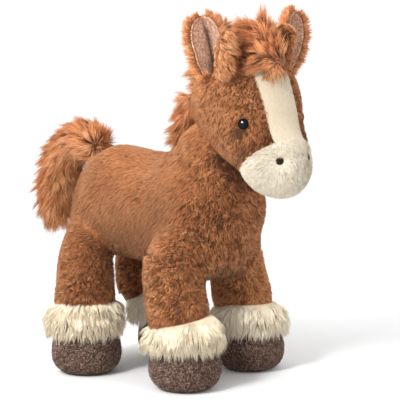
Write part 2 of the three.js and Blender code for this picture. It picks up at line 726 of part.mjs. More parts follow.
// Tail: arches off the rump and hangs.
const tailPivot = new THREE.Vector3(0, trunkRearY - tailRootInset, trunkAxisZ + tailRootRise);
const tailAt = (back, down) => [tailPivot.y + tailReach * back, tailPivot.z - tailDrop * down];
const tailSpine = spineThrough([
  tailAt(-0.04, 0.13),
  tailAt(0.13, -0.16),
  tailAt(0.48, -0.21),
  tailAt(0.78, 0.08),
  tailAt(0.91, 0.52),
  tailAt(1, 1),
]);
const tailForm = {
  length: tailSpine.getLength(),
  startRound: 8,
  endRound: 14,
  stations: [
    [0, tailRadius * 0.7, tailRadius * 0.7, tailRadius * 0.7],
    [0.25, tailRadius * 0.95, tailRadius * 0.95, tailRadius * 0.95],
    [0.7, tailRadius, tailRadius, tailRadius],
    [1, tailRadius * 0.7, tailRadius * 0.7, tailRadius * 0.7],
  ],
  spine: tailSpine,
  rings: 13,
  sides: 14,
};
const trunkClear = solid(softForm(trunkForm, -swingGap), trunkMatrix);
const tailAngles = [-tailSwing, 0, tailSwing];
const trunkPastTail = union(tailAngles.map((angle) => swung(trunkClear, tailPivot, [1, 0, 0], angle)));
const tailBody = cut(solid(softForm(tailForm)), trunkPastTail);
const tailHollow = solid(softForm(tailForm, plushWall, innerDetail));
addPiece(horse, 'tail_cover', cut(tailBody, tailHollow), 'longChestnut');
const tailStuffing = solid(softForm(tailForm, plushWall + seamGap, innerDetail));
addPiece(horse, 'tail_filling', cut(tailStuffing, trunkPastTail), 'filling');

// Legs, hooves and fetlock bands
const hoofWaist = hoofHeight * 0.34; // height where the hoof is widest
const hoofShoulder = hoofHeight * 0.85; // height where it has drawn in towards its mouth
const hoofProfile = (gap) => [
  [0, -gap],
  [hoofSoleRadius + gap, -gap],
  [hoofRadius * 0.9 + gap, hoofHeight * 0.12],
  [hoofRadius + gap, hoofWaist],
  [hoofRadius * 0.965 + gap, hoofHeight * 0.58],
  [hoofMouthRadius * 1.09 + gap, hoofShoulder],
  [hoofMouthRadius + gap, hoofHeight + gap],
  [0, hoofHeight + gap],
];
const pastMouth = hoofHeight + 1;
const insideHoof = (wall) => [
  [0, wall],
  [hoofSoleRadius - wall, wall],
  [hoofRadius - wall, hoofWaist],
  [hoofMouthRadius * 1.09 - wall, hoofShoulder],
  [hoofMouthRadius - wall, pastMouth],
  [0, pastMouth],
];
const hoofSides = 18;
const insideHoofSides = 12;
const fetlockProfile = [
  [0, hoofHeight - fetlockDrop],
  [fetlockRadius * 0.94, hoofHeight - fetlockDrop],
  [fetlockRadius, hoofHeight - fetlockDrop / 2],
  [fetlockRadius * 0.97, hoofHeight],
  [legRadius * 1.23, hoofHeight + fetlockTop],
  [0, hoofHeight + fetlockTop],
];
const aboveAnkle = block(-far, far, -far, far, ankleHeight, far);
const belowMouth = block(-far, far, -far, far, 0, hoofHeight);

for (const leg of legs) {
  const atHoof = move(leg.hip.x, leg.footY - hoofAhead, 0);
  const underHip = chain(legMatrix(leg), move(0, 0, -legTopRadius / 2)).elements;
  const belowHip = block(-far, far, -far, far, 0, far).transform(underHip);
  const sleeve = legShape(leg, 0).intersect(aboveAnkle).intersect(belowHip);
  addPiece(horse, 'leg_cover_' + leg.name, cut(sleeve, legShape(leg, plushWall, innerDetail)), 'chestnut');
  const stuffing = legShape(leg, plushWall + seamGap, innerDetail);
  addPiece(horse, 'leg_filling_' + leg.name, stuffing.intersect(aboveAnkle), 'filling');
  const insideBoot = lathe(insideHoof(bootWall), insideHoofSides, atHoof);
  addPiece(horse, 'hoof_' + leg.name, cut(lathe(hoofProfile(0), hoofSides, atHoof), insideBoot), 'boot');
  const bag = lathe(insideHoof(bootWall + seamGap), insideHoofSides, atHoof);
  addPiece(horse, 'hoof_pellets_' + leg.name, bag.intersect(belowMouth), 'pellets');
  const band = lathe(fetlockProfile, hoofSides, atHoof);
  const aroundBoot = lathe(hoofProfile(seamGap), hoofSides, atHoof);
  addPiece(horse, 'fetlock_' + leg.name, cut(band, aroundBoot, legShape(leg, -seamGap)), 'cream');
}

export default horse;
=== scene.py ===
# A stuffed plush horse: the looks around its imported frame.
# Shapes are worked out in millimetres in the toy's own frame (x to its left, y to its rear, z up),
# and moved into the row's frame, in metres, when a piece is made.
import json
import bpy
import numpy as np
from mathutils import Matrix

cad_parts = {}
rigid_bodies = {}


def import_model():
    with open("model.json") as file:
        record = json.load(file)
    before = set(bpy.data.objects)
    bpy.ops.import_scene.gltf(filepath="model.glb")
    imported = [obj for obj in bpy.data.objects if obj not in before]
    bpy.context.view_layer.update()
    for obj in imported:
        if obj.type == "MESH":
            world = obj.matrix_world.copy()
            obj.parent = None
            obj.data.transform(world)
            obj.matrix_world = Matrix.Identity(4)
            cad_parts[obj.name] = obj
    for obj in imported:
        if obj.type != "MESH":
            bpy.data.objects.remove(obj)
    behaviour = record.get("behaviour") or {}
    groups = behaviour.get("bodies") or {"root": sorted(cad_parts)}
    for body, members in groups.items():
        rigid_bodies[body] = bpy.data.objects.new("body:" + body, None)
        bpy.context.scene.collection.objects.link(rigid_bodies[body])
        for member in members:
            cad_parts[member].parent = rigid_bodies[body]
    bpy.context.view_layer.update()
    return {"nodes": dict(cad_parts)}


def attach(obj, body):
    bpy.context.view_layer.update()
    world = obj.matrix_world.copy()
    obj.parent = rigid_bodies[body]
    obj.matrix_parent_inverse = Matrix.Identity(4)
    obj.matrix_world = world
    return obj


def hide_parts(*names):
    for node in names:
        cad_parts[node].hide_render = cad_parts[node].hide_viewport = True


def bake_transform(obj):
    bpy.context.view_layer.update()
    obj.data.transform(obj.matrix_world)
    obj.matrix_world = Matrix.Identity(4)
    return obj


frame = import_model()
print("frame loaded")

toyMiddleY = -2.5  # the toy frame's y at the row's origin
seamShell = 2.5  # thickness of a plush panel's backing and pressed pile


# Placing

def moved(x, y, z):
    matrix = np.eye(4)
    matrix[:3, 3] = (x, y, z)
    return matrix


def turned(axis, degrees):
    a, b = [(1, 2), (2, 0), (0, 1)]["xyz".index(axis)]
    angle = np.radians(degrees)
    matrix = np.eye(4)
    matrix[a, a] = matrix[b, b] = np.cos(angle)
    matrix[b, a] = np.sin(angle)
    matrix[a, b] = -np.sin(angle)
    return matrix


def chained(*matrices):
    result = np.eye(4)
    for matrix in matrices:
        result = result @ matrix
    return result


def placed(points, matrix):
    return points @ matrix[:3, :3].T + matrix[:3, 3]


def unit(vectors):
    return vectors / np.maximum(np.linalg.norm(vectors, axis=-1, keepdims=True), 1e-9)


def eased(start, end, value):
    share = np.clip((value - start) / (end - start), 0, 1)
    return share * share * (3 - 2 * share)


def bell(points, middle, reach):
    # 1 at the middle, falling off by a bell curve of the distance from it
    return np.exp(-(np.linalg.norm(points - middle, axis=1) / reach) ** 2)


# Random fields

def ripple(points, size, seed):
    # smooth random values of about -1 to 1: eight sine waves, about one size long, in random directions
    chance = np.random.default_rng(seed)
    waves = unit(chance.normal(size=(8, 3))) * 2 * np.pi / size * chance.uniform(0.7, 1.5, (8, 1))
    return np.sin(points @ waves.T + chance.uniform(0, 2 * np.pi, 8)).sum(1) / 4


def swirl(points, size, seed):
    # three ripples side by side: a smooth random direction
    return np.stack([ripple(points, size, seed + k) for k in range(3)], 1)


def tuftCells(points, size, seed):
    # space is cut into cubes of one size; each gives its hairs one random vector and a middle to lean to
    shift = size * (1 + 0.2 * swirl(points, 5 * size, seed))
    cells = np.floor((points + shift) / size).astype(np.int64)
    table = np.random.default_rng(seed).normal(size=(4096, 3))
    index = (cells @ np.array([73856093, 19349663, 83492791])) % len(table)
    return table[index], (cells + 0.5) * size - shift


# Stuffed forms

def between(stations, share):
    # a smooth line through stations (share, value, ...): a cubic from each to the next, and at each the
    # slope from the one before it to the one after it
    stations = np.array(stations, float)
    share = np.asarray(share, float)
    last = len(stations) - 1
    i = np.clip(np.searchsorted(stations[:, 0], share) - 1, 0, last - 1)
    a, b = stations[i], stations[i + 1]
    before, after = stations[np.maximum(i - 1, 0)], stations[np.minimum(i + 2, last)]
    span = (b - a)[..., :1]
    f = np.clip((share[..., None] - a[..., :1]) / span, 0, 1)
    slopeA = (b - before) / (b - before)[..., :1] * span
    slopeB = (after - a) / (after - a)[..., :1] * span
    line = a + (b - a) * f * f * (3 - 2 * f) + f * (1 - f) ** 2 * slopeA - f * f * (1 - f) * slopeB
    return line[..., 1:]


def bowOf(form, along):
    # a form may bend forwards in the middle of its length, by half a sine wave
    return form.get("bow", 0) * np.sin(np.pi * np.clip(along / form["length"], 0, 1))


def formPoints(form, along, turn, inset=0.0):
    # at each distance along, a half ellipse in front of the middle line and one behind it; the ends are
    # round, as the ellipses shrink there by the root of one less the squared share of the end's radius
    length, startRound, endRound = form["length"], form["startRound"], form["endRound"]
    wide, front, back = np.moveaxis(between(form["stations"], along / length), -1, 0)
    short = np.maximum(np.maximum(startRound - along, 0) / startRound,
                       np.maximum(along - length + endRound, 0) / endRound)
    swell = np.sqrt(np.maximum(1 - short ** 2, 0))
    depth = np.where(np.sin(turn) >= 0, front, back)
    x = np.cos(turn) * (wide - inset) * swell
    y = np.sin(turn) * (depth - inset) * swell
    z = inset + along / length * (length - 2 * inset)
    local = np.stack([x, y + bowOf(form, z), z], -1)
    if "spine" in form:
        return alongSpine(form["spine"], local)
    return placed(local, form["place"])


def spineThrough(points, samples=200):
    # a smooth curve through (y, z) points in the middle plane: a cubic through each four neighbours, read off
    # at even lengths, with its tangents
    points = np.array(points, float)
    ends = np.vstack([2 * points[0] - points[1], points, 2 * points[-1] - points[-2]])
    share = np.linspace(0, len(points) - 1 - 1e-9, 4 * samples)
    i = share.astype(int)
    f = (share - i)[:, None]
    p0, p1, p2, p3 = ends[i], ends[i + 1], ends[i + 2], ends[i + 3]
    curve = 0.5 * (2 * p1 + (p2 - p0) * f + (2 * p0 - 5 * p1 + 4 * p2 - p3) * f ** 2
                   + (3 * p1 - p0 - 3 * p2 + p3) * f ** 3)
    walked = np.concatenate([[0], np.cumsum(np.linalg.norm(np.diff(curve, axis=0), axis=1))])
    even = np.linspace(0, walked[-1], samples)
    y, z = np.interp(even, walked, curve[:, 0]), np.interp(even, walked, curve[:, 1])
    line = np.stack([0 * y, y, z], 1)
    return {"line": line, "tangent": unit(np.gradient(line, axis=0)), "walked": even}


def alongSpine(spine, local):
    # a local point's z is its way along the spine, its y the way out of the curve, its x sideways
    z = np.clip(local[..., 2], 0, spine["walked"][-1])
    read = lambda values: np.stack([np.interp(z, spine["walked"], values[:, k]) for k in range(3)], -1)
    tangent = unit(read(spine["tangent"]))
    outward = np.cross(tangent, [1.0, 0, 0])
    past = (local[..., 2] - z)[..., None]
    return read(spine["line"]) + outward * local[..., 1:2] + tangent * past + local[..., :1] * [1.0, 0, 0]


def outside(form, points):
    # how far points lie outside a form, in millimetres, and below zero inside it: their distance from its
    # middle line, less the skin's distance from it the same way
    local = placed(points, np.linalg.inv(form["place"]))
    length, startRound, endRound = form["length"], form["startRound"], form["endRound"]
    x, z = local[:, 0], local[:, 2]
    y = local[:, 1] - bowOf(form, z)
    wide, front, back = between(form["stations"], np.clip(z / length, 0, 1)).T
    depth = np.where(y >= 0, front, back)
    past = np.maximum(startRound - z, 0)
    over = np.maximum(z - length + endRound, 0)
    scale = np.sqrt((x / wide) ** 2 + (y / depth) ** 2 + (past / startRound) ** 2 + (over / endRound) ** 2)
    reach = np.sqrt(x ** 2 + y ** 2 + past ** 2 + over ** 2)
    return (scale - 1) * reach / np.maximum(scale, 1e-6)


def normalsOf(form, along, turn, inset=0.0):
    # a small step across, multiplied crosswise by a small step along
    step = 0.02
    length = form["length"]
    low, high = np.clip(along - step, 0.001, length), np.clip(along + step, 0, length - 0.001)
    alongWay = formPoints(form, high, turn, inset) - formPoints(form, low, turn, inset)
    acrossWay = formPoints(form, along, turn + step, inset) - formPoints(form, along, turn - step, inset)
    return unit(np.cross(acrossWay, alongWay))


def evenAlong(length, rings):
    # distances along a form, closer together at its round ends
    return length * (1 - np.cos(np.linspace(0, np.pi, rings + 1))) / 2


def scattered(form, seed):
    # roots all over a form: a cell of its grid is chosen by its area, and a random point in it
    chance = np.random.default_rng(seed)
    inset = form["inset"]
    alongs = evenAlong(form["length"], 60)
    turns = np.linspace(0, 2 * np.pi, 73)
    grid = formPoints(form, alongs[:, None] + 0 * turns, turns + 0 * alongs[:, None], inset)
    diagonals = grid[1:, 1:] - grid[:-1, :-1], grid[1:, :-1] - grid[:-1, 1:]
    areas = (np.linalg.norm(np.cross(*diagonals), axis=-1) / 2).ravel()
    cell = chance.choice(areas.size, int(areas.sum() * form["perSquare"]), p=areas / areas.sum())
    i, j = np.divmod(cell, len(turns) - 1)
    along = alongs[i] + (alongs[i + 1] - alongs[i]) * chance.random(cell.size)
    turn = turns[j] + (turns[1] - turns[0]) * chance.random(cell.size)
    return {"point": formPoints(form, along, turn, inset), "normal": normalsOf(form, along, turn, inset),
            "along": along, "turn": turn, "chance": chance.random((cell.size, 6))}


def only(roots, keep):
    return {name: values[keep] for name, values in roots.items()}


# Meshes

def gridFaces(rows, columns):
    # two triangles for each cell of a grid of points
    i, j = np.meshgrid(np.arange(rows - 1), np.arange(columns - 1), indexing="ij")
    a = (i * columns + j).ravel()
    b, c, d = a + 1, a + columns + 1, a + columns
    return np.concatenate([np.stack([a, b, c], 1), np.stack([a, c, d], 1)])


def closedSheet(front, back):
    # two grids of points, with a rim between them all round
    rows, columns = front.shape[:2]
    count = rows * columns
    faces = gridFaces(rows, columns)
    edge = np.concatenate([np.arange(columns), np.arange(1, rows) * columns + columns - 1,
                           np.arange(columns - 2, -1, -1) + (rows - 1) * columns,
                           np.arange(rows - 2, 0, -1) * columns])
    following = np.roll(edge, -1)
    rim = np.concatenate([np.stack([following, edge, edge + count], 1),
                          np.stack([following, edge + count, following + count], 1)])
    points = np.concatenate([front.reshape(-1, 3), back.reshape(-1, 3)])
    return points, np.concatenate([faces, faces[:, ::-1] + count, rim])


def ringFaces(rings, sides):
    # bands between rings of points, and a fan at each end to a pole, which comes after the rings
    j = np.arange(sides)
    following = (j + 1) % sides
    bands = []
    for i in range(rings - 1):
        a, b, c, d = i * sides + j, i * sides + following, (i + 1) * sides + following, (i + 1) * sides + j
        bands += [np.stack([a, b, c], 1), np.stack([a, c, d], 1)]
    top, low, high = (rings - 1) * sides, rings * sides, rings * sides + 1
    bands += [np.stack([following, j, np.full(sides, low)], 1),
              np.stack([top + j, top + following, np.full(sides, high)], 1)]
    return np.concatenate(bands)


def plainPart(points, faces, shade, tip=0.0):
    # a skin's map: its shade across, and tip as its way from root to tip
    up = np.full(len(points), tip) + 0.02 * (np.arange(len(points)) % 2)
    return points, faces, np.stack([shade + np.zeros(len(points)), up], 1)


def patch(form, alongs, startTurns, endTurns, columns, lift):
    # a closed panel over part of a form, whose outer points are lifted onto their final surface
    share = np.linspace(0, 1, columns + 1)
    along = alongs[:, None] + 0 * share
    turn = startTurns[:, None] + (endTurns - startTurns)[:, None] * share
    outer, inner = [formPoints(form, along, turn, form["inset"] + depth) for depth in (0.0, seamShell)]
    normals = normalsOf(form, along, turn, form["inset"])
    raised = lift(outer.reshape(-1, 3), normals.reshape(-1, 3)).reshape(outer.shape)
    return closedSheet(raised, inner + raised - outer)


def closedSkin(form, rings, sides, lift=None):
    # a whole form: rings of points and the two poles
    inset = form["inset"]
    alongs = evenAlong(form["length"], rings)[1:-1]
    turns = np.linspace(0, 2 * np.pi, sides + 1)[:-1]
    along, turn = np.meshgrid(alongs, turns, indexing="ij")
    points = formPoints(form, along, turn, inset).reshape(-1, 3)
    if lift is not None:
        points = lift(points, normalsOf(form, along, turn, inset).reshape(-1, 3))
    poles = formPoints(form, np.array([0.0, form["length"]]), np.zeros(2), inset)
    return np.concatenate([points, poles]), ringFaces(len(alongs), sides)


def hairs(roots, direction, bend, length, width, shade, segments=2, facing=None):
    # a bent three-sided spike for each root: its middle line is root + length (t direction + t t bend), and
    # its half width runs out at the tip by the square of t; one flat side is turned to facing
    if facing is None:
        facing = swirl(roots, 3.0, 91) + [0.3, 0.2, 0.1]
    side = unit(np.cross(direction, facing))
    up = np.cross(direction, side)
    steps = np.linspace(0, 1, segments + 1)[:-1]
    corners = np.radians([-30, 90, 210])
    across = side[:, None] * np.cos(corners)[:, None] + up[:, None] * np.sin(corners)[:, None]
    rings = []
    for t in steps:
        middle = roots + length[:, None] * (t * direction + t * t * bend)
        half = 0.5 * width * (1 - t ** 2)
        rings.append(middle[:, None] + half[:, None, None] * across)
    tip = roots + length[:, None] * (direction + bend)
    points = np.concatenate(rings + [tip[:, None]], 1)
    each = 3 * segments + 1
    one = [[0, 2, 1]]
    for i in range(segments - 1):
        for j in range(3):
            a, b = 3 * i + j, 3 * i + (j + 1) % 3
            one += [[a, b, b + 3], [a, b + 3, a + 3]]
    one += [[each - 4 + j, each - 4 + (j + 1) % 3, each - 1] for j in range(3)]
    faces = (np.array(one)[None] + each * np.arange(len(roots))[:, None, None]).reshape(-1, 3)
    rise = np.concatenate([np.repeat(steps, 3), [1.0]])
    uv = np.stack([np.repeat(np.clip(shade, 0.01, 0.99), each), np.tile(rise, len(roots))], 1)
    return points.reshape(-1, 3), faces, uv


def addPiece(name, parts, material, replaced, body=None, smooth=True):
    # parts are (points, faces, uv) in the toy frame; short pale pile isn't smooth, so that a hair's side has
    # one tone
    starts = np.cumsum([0] + [len(part[0]) for part in parts[:-1]])
    points = (np.concatenate([part[0] for part in parts]) - [0, toyMiddleY, 0]) / 1000
    faces = np.concatenate([part[1] + start for part, start in zip(parts, starts)])
    mesh = bpy.data.meshes.new(name)
    mesh.vertices.add(len(points))
    mesh.vertices.foreach_set("co", points.astype(np.float32).ravel())
    mesh.loops.add(faces.size)
    mesh.loops.foreach_set("vertex_index", faces.astype(np.int32).ravel())
    mesh.polygons.add(len(faces))
    mesh.polygons.foreach_set("loop_start", np.arange(0, faces.size, 3, dtype=np.int32))
    mesh.polygons.foreach_set("use_smooth", np.full(len(faces), smooth))
    if parts[0][2] is not None:
        uv = np.concatenate([part[2] for part in parts])[faces.ravel()]
        layer = mesh.uv_layers.new(name="OFBake")
        layer.data.foreach_set("uv", np.clip(uv, 0.002, 0.998).astype(np.float32).ravel())
    mesh.update(calc_edges=True)
    mesh.materials.append(material)
    piece = bpy.data.objects.new(name, mesh)
    bpy.context.scene.collection.objects.link(piece)
    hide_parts(*replaced)
    if body is not None:
        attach(piece, body)
    print(name, len(faces), "triangles")
    return piece


# Materials

def paint(value):
    # three numbers are a colour as it shows on a screen, 0 to 255, turned into light; one is a share of light
    if not isinstance(value, tuple):
        return (value, value, value, 1.0)
    shown = np.array(value) / 255
    light = np.where(shown <= 0.04045, shown / 12.92, ((shown + 0.055) / 1.055) ** 2.4)
    return (*light.tolist(), 1.0)


def newMaterial(name, **settings):
    material = bpy.data.materials.new(name)
    material.use_nodes = True
    shader = material.node_tree.nodes["Principled BSDF"]
    for socket, value in settings.items():
        shader.inputs[socket.replace("_", " ")].default_value = value
    return material, material.node_tree, shader


def colourRamp(tree, source, stops):
    ramp = tree.nodes.new("ShaderNodeValToRGB")
    while len(ramp.color_ramp.elements) < len(stops):
        ramp.color_ramp.elements.new(0.5)
    for element, (place, value) in zip(ramp.color_ramp.elements, stops):
        element.position = place
        element.color = paint(value)
    tree.links.new(source, ramp.inputs["Fac"])
    return ramp.outputs["Color"]


def mapParts(tree):
    place = tree.nodes.new("ShaderNodeUVMap")
    place.uv_map = "OFBake"
    apart = tree.nodes.new("ShaderNodeSeparateXYZ")
    tree.links.new(place.outputs["UV"], apart.inputs["Vector"])
    return apart.outputs


def multiplied(tree, first, second):
    mix = tree.nodes.new("ShaderNodeMix")
    mix.data_type = "RGBA"
    mix.blend_type = "MULTIPLY"
    mix.inputs["Factor"].default_value = 1.0
    tree.links.new(first, mix.inputs["A"])
    tree.links.new(second, mix.inputs["B"])
    return mix.outputs["Result"]


def pileMaterial(name, shades, rise, roughness, sheen, sheenColour):
    # across the map a hair's tone, from dark to light, and up the map its way from root to tip
    material, tree, shader = newMaterial(name, Roughness=roughness, Sheen_Weight=sheen, Sheen_Roughness=0.6,
                                         Sheen_Tint=paint(sheenColour), Specular_IOR_Level=0.2)
    across, up = mapParts(tree)["X"], mapParts(tree)["Y"]
    # the ramp up the map darkens a hair towards its root, as painted shade between the hairs
    colour = multiplied(tree, colourRamp(tree, across, shades), colourRamp(tree, up, rise))
    tree.links.new(colour, shader.inputs["Base Color"])
    return material


chestnutPile = pileMaterial(
    "chestnutPlush", [(0, (74, 37, 20)), (0.35, (141, 83, 47)), (0.65, (180, 112, 68)), (1, (217, 150, 99))],
    [(0, 0.3), (0.5, 0.86), (1, 1.26)], 0.85, 0.3, (255, 205, 160))
longChestnutPile = pileMaterial(
    "longChestnutPile",
    [(0, (120, 62, 34)), (0.35, (178, 104, 62)), (0.7, (214, 142, 92)), (1, (240, 186, 138))],
    [(0, 0.4), (0.4, 0.8), (1, 1.2)], 0.75, 0.3, (255, 210, 165))
creamPile = pileMaterial(
    "creamPlush", [(0, (142, 126, 97)), (0.4, (180, 164, 139)), (0.7, (197, 183, 160)), (1, (214, 207, 192))],
    [(0, 0.95), (0.5, 1.0), (1, 1.05)], 0.85, 0.3, (255, 248, 234))
longCreamPile = pileMaterial(
    "longCreamPile",
    [(0, (180, 156, 118)), (0.4, (217, 197, 163)), (0.7, (234, 219, 191)), (1, (247, 238, 219))],
    [(0, 0.92), (0.4, 1.0), (1, 1.1)], 0.75, 0.3, (255, 246, 226))
hoofPile = pileMaterial(
    "hoofBoucle", [(0, (30, 18, 14)), (0.45, (100, 74, 63)), (0.75, (144, 114, 99)), (1, (192, 164, 146))],
    [(0, 0.4), (0.5, 1.0), (1, 1.1)], 0.9, 0.15, (230, 210, 195))


def noiseMaterial(name, size, stops, bump, roughness, rise=None, **settings):
    # a speckle in the piece's own place, as colour and as a fine relief; up the map it may get lighter
    material, tree, shader = newMaterial(name, Roughness=roughness, **settings)
    place = tree.nodes.new("ShaderNodeTexCoord")
    noise = tree.nodes.new("ShaderNodeTexNoise")
    noise.inputs["Scale"].default_value = 1 / size
    noise.inputs["Detail"].default_value = 4
    noise.inputs["Roughness"].default_value = 0.65
    tree.links.new(place.outputs["Object"], noise.inputs["Vector"])
    colour = colourRamp(tree, noise.outputs["Fac"], stops)
    if rise:
        colour = multiplied(tree, colour, colourRamp(tree, mapParts(tree)["Y"], rise))
    tree.links.new(colour, shader.inputs["Base Color"])
    relief = tree.nodes.new("ShaderNodeBump")
    relief.inputs["Distance"].default_value = bump
    tree.links.new(noise.outputs["Fac"], relief.inputs["Height"])
    tree.links.new(relief.outputs["Normal"], shader.inputs["Normal"])
    return material


# up its map the lining holds painted shade in its fold and foot, and a lighter rim
earVelour = noiseMaterial(
    "earVelour", 0.0016, [(0.3, (124, 82, 64)), (0.5, (178, 134, 108)), (0.7, (216, 178, 152))],
    0.0006, 0.9, [(0, 0.25), (0.6, 1), (1, 1.35)], Sheen_Weight=0.3, Specular_IOR_Level=0.2)
eyeBlack = noiseMaterial("eyeBlack", 0.004, [(0.35, (2, 2, 3)), (0.7, (6, 5, 6))], 0.00001, 0.12,
                         Specular_IOR_Level=0.12)
nostrilBrown = noiseMaterial("nostrilBrown", 0.002, [(0.3, (18, 9, 5)), (0.7, (44, 24, 14))], 0.00008, 0.5,
                             Specular_IOR_Level=0.12)
washerPlastic = noiseMaterial("washerPlastic", 0.003, [(0.3, (226, 226, 220)), (0.7, (240, 240, 236))],
                              0.00004, 0.45)

# Body forms: stations are a share of the length, half width, and depths in front and behind

trunk = {  # from rump to chest; its front is the horse's back, and its behind the belly
    "length": 168, "startRound": 46, "endRound": 42,
    "stations": [[0, 46, 46, 37.8], [0.23, 48, 51.1, 40], [0.48, 46.5, 46, 45.9], [0.75, 50, 44.2, 54],
                 [1, 50, 40, 54]],
    "place": chained(moved(0, 88, 133), turned("x", 90)),
    "inset": 2.2, "perSquare": 2.15, "hairLength": 4.8, "hairWidth": 0.88, "bellyHalf": 17,
}
neckPivot = np.array([0, -38.0, 146])
neckTurnY = -57  # the upright line that the head turns about
neckTop = 232
collarDome = 22.4  # height of the dome at the neck's top
neckBall = 42  # radius of the neck's base, about its pivot
neckLean = np.degrees(np.arctan2(neckPivot[1] - neckTurnY, neckTop - neckPivot[2] - collarDome))
neck = {
    "length": 104, "startRound": neckBall, "endRound": 24,
    "stations": [[0, 42, 42, 42], [0.42, 42, 42, 42], [0.68, 35, 33, 37], [0.85, 29, 29, 30],
                 [1, 28, 28, 28]],
    "place": chained(moved(*neckPivot), turned("x", neckLean), moved(0, 0, -neckBall)),
    "inset": 1.6, "perSquare": 2.15, "hairLength": 4.8, "hairWidth": 0.88,
}
legInfo = {  # hip x and y, degrees that the foot is ahead, how far the leg bends forwards, and its painted light: a lighter share, below zero darker, for how the lamps light it
    "fore_right": (-44, -34, 11.5, 0, 0.04), "fore_left": (44, -34, 13, 0, 0.42),
    "hind_right": (-44, 52, -2, 1.5, -0.06), "hind_left": (44, 52, 17.5, -18, 0.1)}
hipHeight = 98
hoofHeight = 41
legTopRadius = 20.5
legs = {name: {
    "length": 94.6, "startRound": 36, "endRound": 11,
    "stations": [[0, 21, 21, 21], [0.4, 22, 22, 22], [0.62, 23.5, 23.5, 23.5], [0.72, 22.5, 22.5, 22.5],
                 [1, 21, 21, 21]],
    "place": chained(moved(x, y, hipHeight), turned("x", 180 - lean), moved(0, 0, -legTopRadius)),
    "bow": bow, "tone": tone, "inset": 0.6, "perSquare": 2.3, "hairLength": 3.8, "hairWidth": 0.78,
} for name, (x, y, lean, bow, tone) in legInfo.items()}
bodyForms = [trunk, neck, *legs.values()]
folds = {
    "haunchStart": np.array([52, 42, 123.0]), "haunchEnd": np.array([50, 12, 101.0]), "haunchWidth": 4,
    "legHeight": 105.5, "legSlope": 0.1, "legWidth": 2.4, "depth": 2.4}


def joined(distances, reaches):
    # the nearest of several distances, rounded off where two are closer than their reach
    total = distances[0]
    for distance, reach in zip(distances[1:], reaches):
        near = np.maximum(reach - np.abs(total - distance), 0) / reach
        total = np.minimum(total, distance) - near * near * reach / 4
    return total


def bodyReaches(points):
    # the reach of the soft run from the trunk to the neck, the fore and the hind legs: short under the belly,
    # and long before the shoulders and behind the haunches
    shoulder, haunch = eased(-34, -56, points[:, 1]), eased(46, 70, points[:, 1])
    return [16, 13 + 10 * shoulder, 13 + 17 * shoulder, 15 + 20 * haunch, 15 + 20 * haunch]


def onOneSide(points):
    # points mirrored to the toy's left
    return np.stack([np.abs(points[:, 0]), points[:, 1], points[:, 2]], 1)


def foldDepth(points):
    # how deep the plush folds, as a share: along a slanting line at the front of each haunch, and over each
    # fore leg; both fall off by a bell curve of the distance
    points = onOneSide(points)
    start, line = folds["haunchStart"], folds["haunchEnd"] - folds["haunchStart"]
    share = np.clip((points - start) @ line / (line @ line), 0, 1)
    haunch = bell(points - share[:, None] * line, start, folds["haunchWidth"]) * eased(0.0, 0.4, share)
    above = points[:, 2] - folds["legHeight"] - folds["legSlope"] * points[:, 1]
    overLeg = np.exp(-(above / folds["legWidth"]) ** 2) * eased(44, 52, points[:, 0])
    return haunch + overLeg * eased(-14, -26, points[:, 1]) * eased(-64, -50, points[:, 1])


def bodyField(points):
    bare = joined([outside(form, points) + form["inset"] for form in bodyForms], bodyReaches(points))
    return bare + folds["depth"] * foldDepth(points)


def ontoBody(points, normals):
    # points near a crease move out to the body's rounded-off surface; those inside a neighbour stay
    points = points.copy()
    distances = np.stack([outside(form, points) + form["inset"] for form in bodyForms])
    held = (distances < -1).any(0)
    step = 0.05
    for _ in range(3):
        here = bodyField(points)
        steps = [bodyField(points + step * np.eye(3)[k]) for k in range(3)]
        slope = (np.stack(steps, 1) - here[:, None]) / step
        size = np.maximum((slope ** 2).sum(1), 0.2)
        push = -here[:, None] * slope / size[:, None]
        points[~held] += np.clip(push[~held], -6, 6)
    return points


def bodyNormals(points):
    here = bodyField(points)
    return unit(np.stack([bodyField(points + 0.3 * np.eye(3)[k]) - here for k in range(3)], 1))


# Short plush

nap = {"tuftSize": 2.4, "swirlSize": 7.0, "gather": 0.09}


def plush(roots, flow, upright, curl, seed, info, shade, sizes=1.0):
    # a hair leans from the surface's normal to the nap, which swirls; the hairs of a tuft share a tilt and a
    # tone, and lean to its middle
    chance, point, normal = roots["chance"], roots["point"], roots["normal"]
    tilt, middle = tuftCells(point, nap["tuftSize"], seed)
    way = flow + curl[:, None] * (0.8 * swirl(point, nap["swirlSize"], seed + 5) + 0.5 * tilt)
    way = unit(way - (way * normal).sum(1, keepdims=True) * normal)
    direction = unit(upright[:, None] * normal + way)
    bend = -0.04 * normal + 0.12 * way + (middle - point) * nap["gather"] * curl[:, None] * 0.6
    shade = shade + info.get("tuft", 0.2) * np.clip(curl, 0, 1) * tilt[:, 0]
    length = info["hairLength"] * (0.75 + 0.5 * chance[:, 0]) * sizes
    width = info["hairWidth"] * (0.8 + 0.4 * chance[:, 1])
    return hairs(point - info.get("depth", 0.4) * normal, direction, bend, length, width,
                 shade + info.get("grain", 0.5) * (chance[:, 2] - 0.5), 1, normal)


def paintedCreaseShadow(points, own):
    # painted shade in creases: darker where a neighbouring form comes near
    near = np.full(len(points), 99.0)
    for form in bodyForms:
        if form is not own:
            near = np.minimum(near, outside(form, points))
    return -0.3 * (1 - eased(0, 12, near)) * (0.2 + 0.8 * eased(114, 98, points[:, 2]))


def nappiness(points):
    # 0 where the pile lies smooth, on the flanks and the back, to 1 where it is rubbed up: chest, legs, groin
    x, y, z = points.T
    chest = eased(-20, -62, y + 0.25 * (z - 120))
    low = eased(118, 92, z)
    patches = 0.35 * ripple(points, 42, 31)
    return np.clip(np.maximum(chest * 0.9, low * 0.85) + patches, 0.05, 1)


def paintedFoldShadow(points):
    # painted shade in the folds, and mottled painted shade round the one at the haunch
    haunch = bell(onOneSide(points), [54, 27, 111], 12)
    return -0.26 * haunch * (0.8 + 0.8 * ripple(points, 5, 47)) - 0.3 * foldDepth(points)


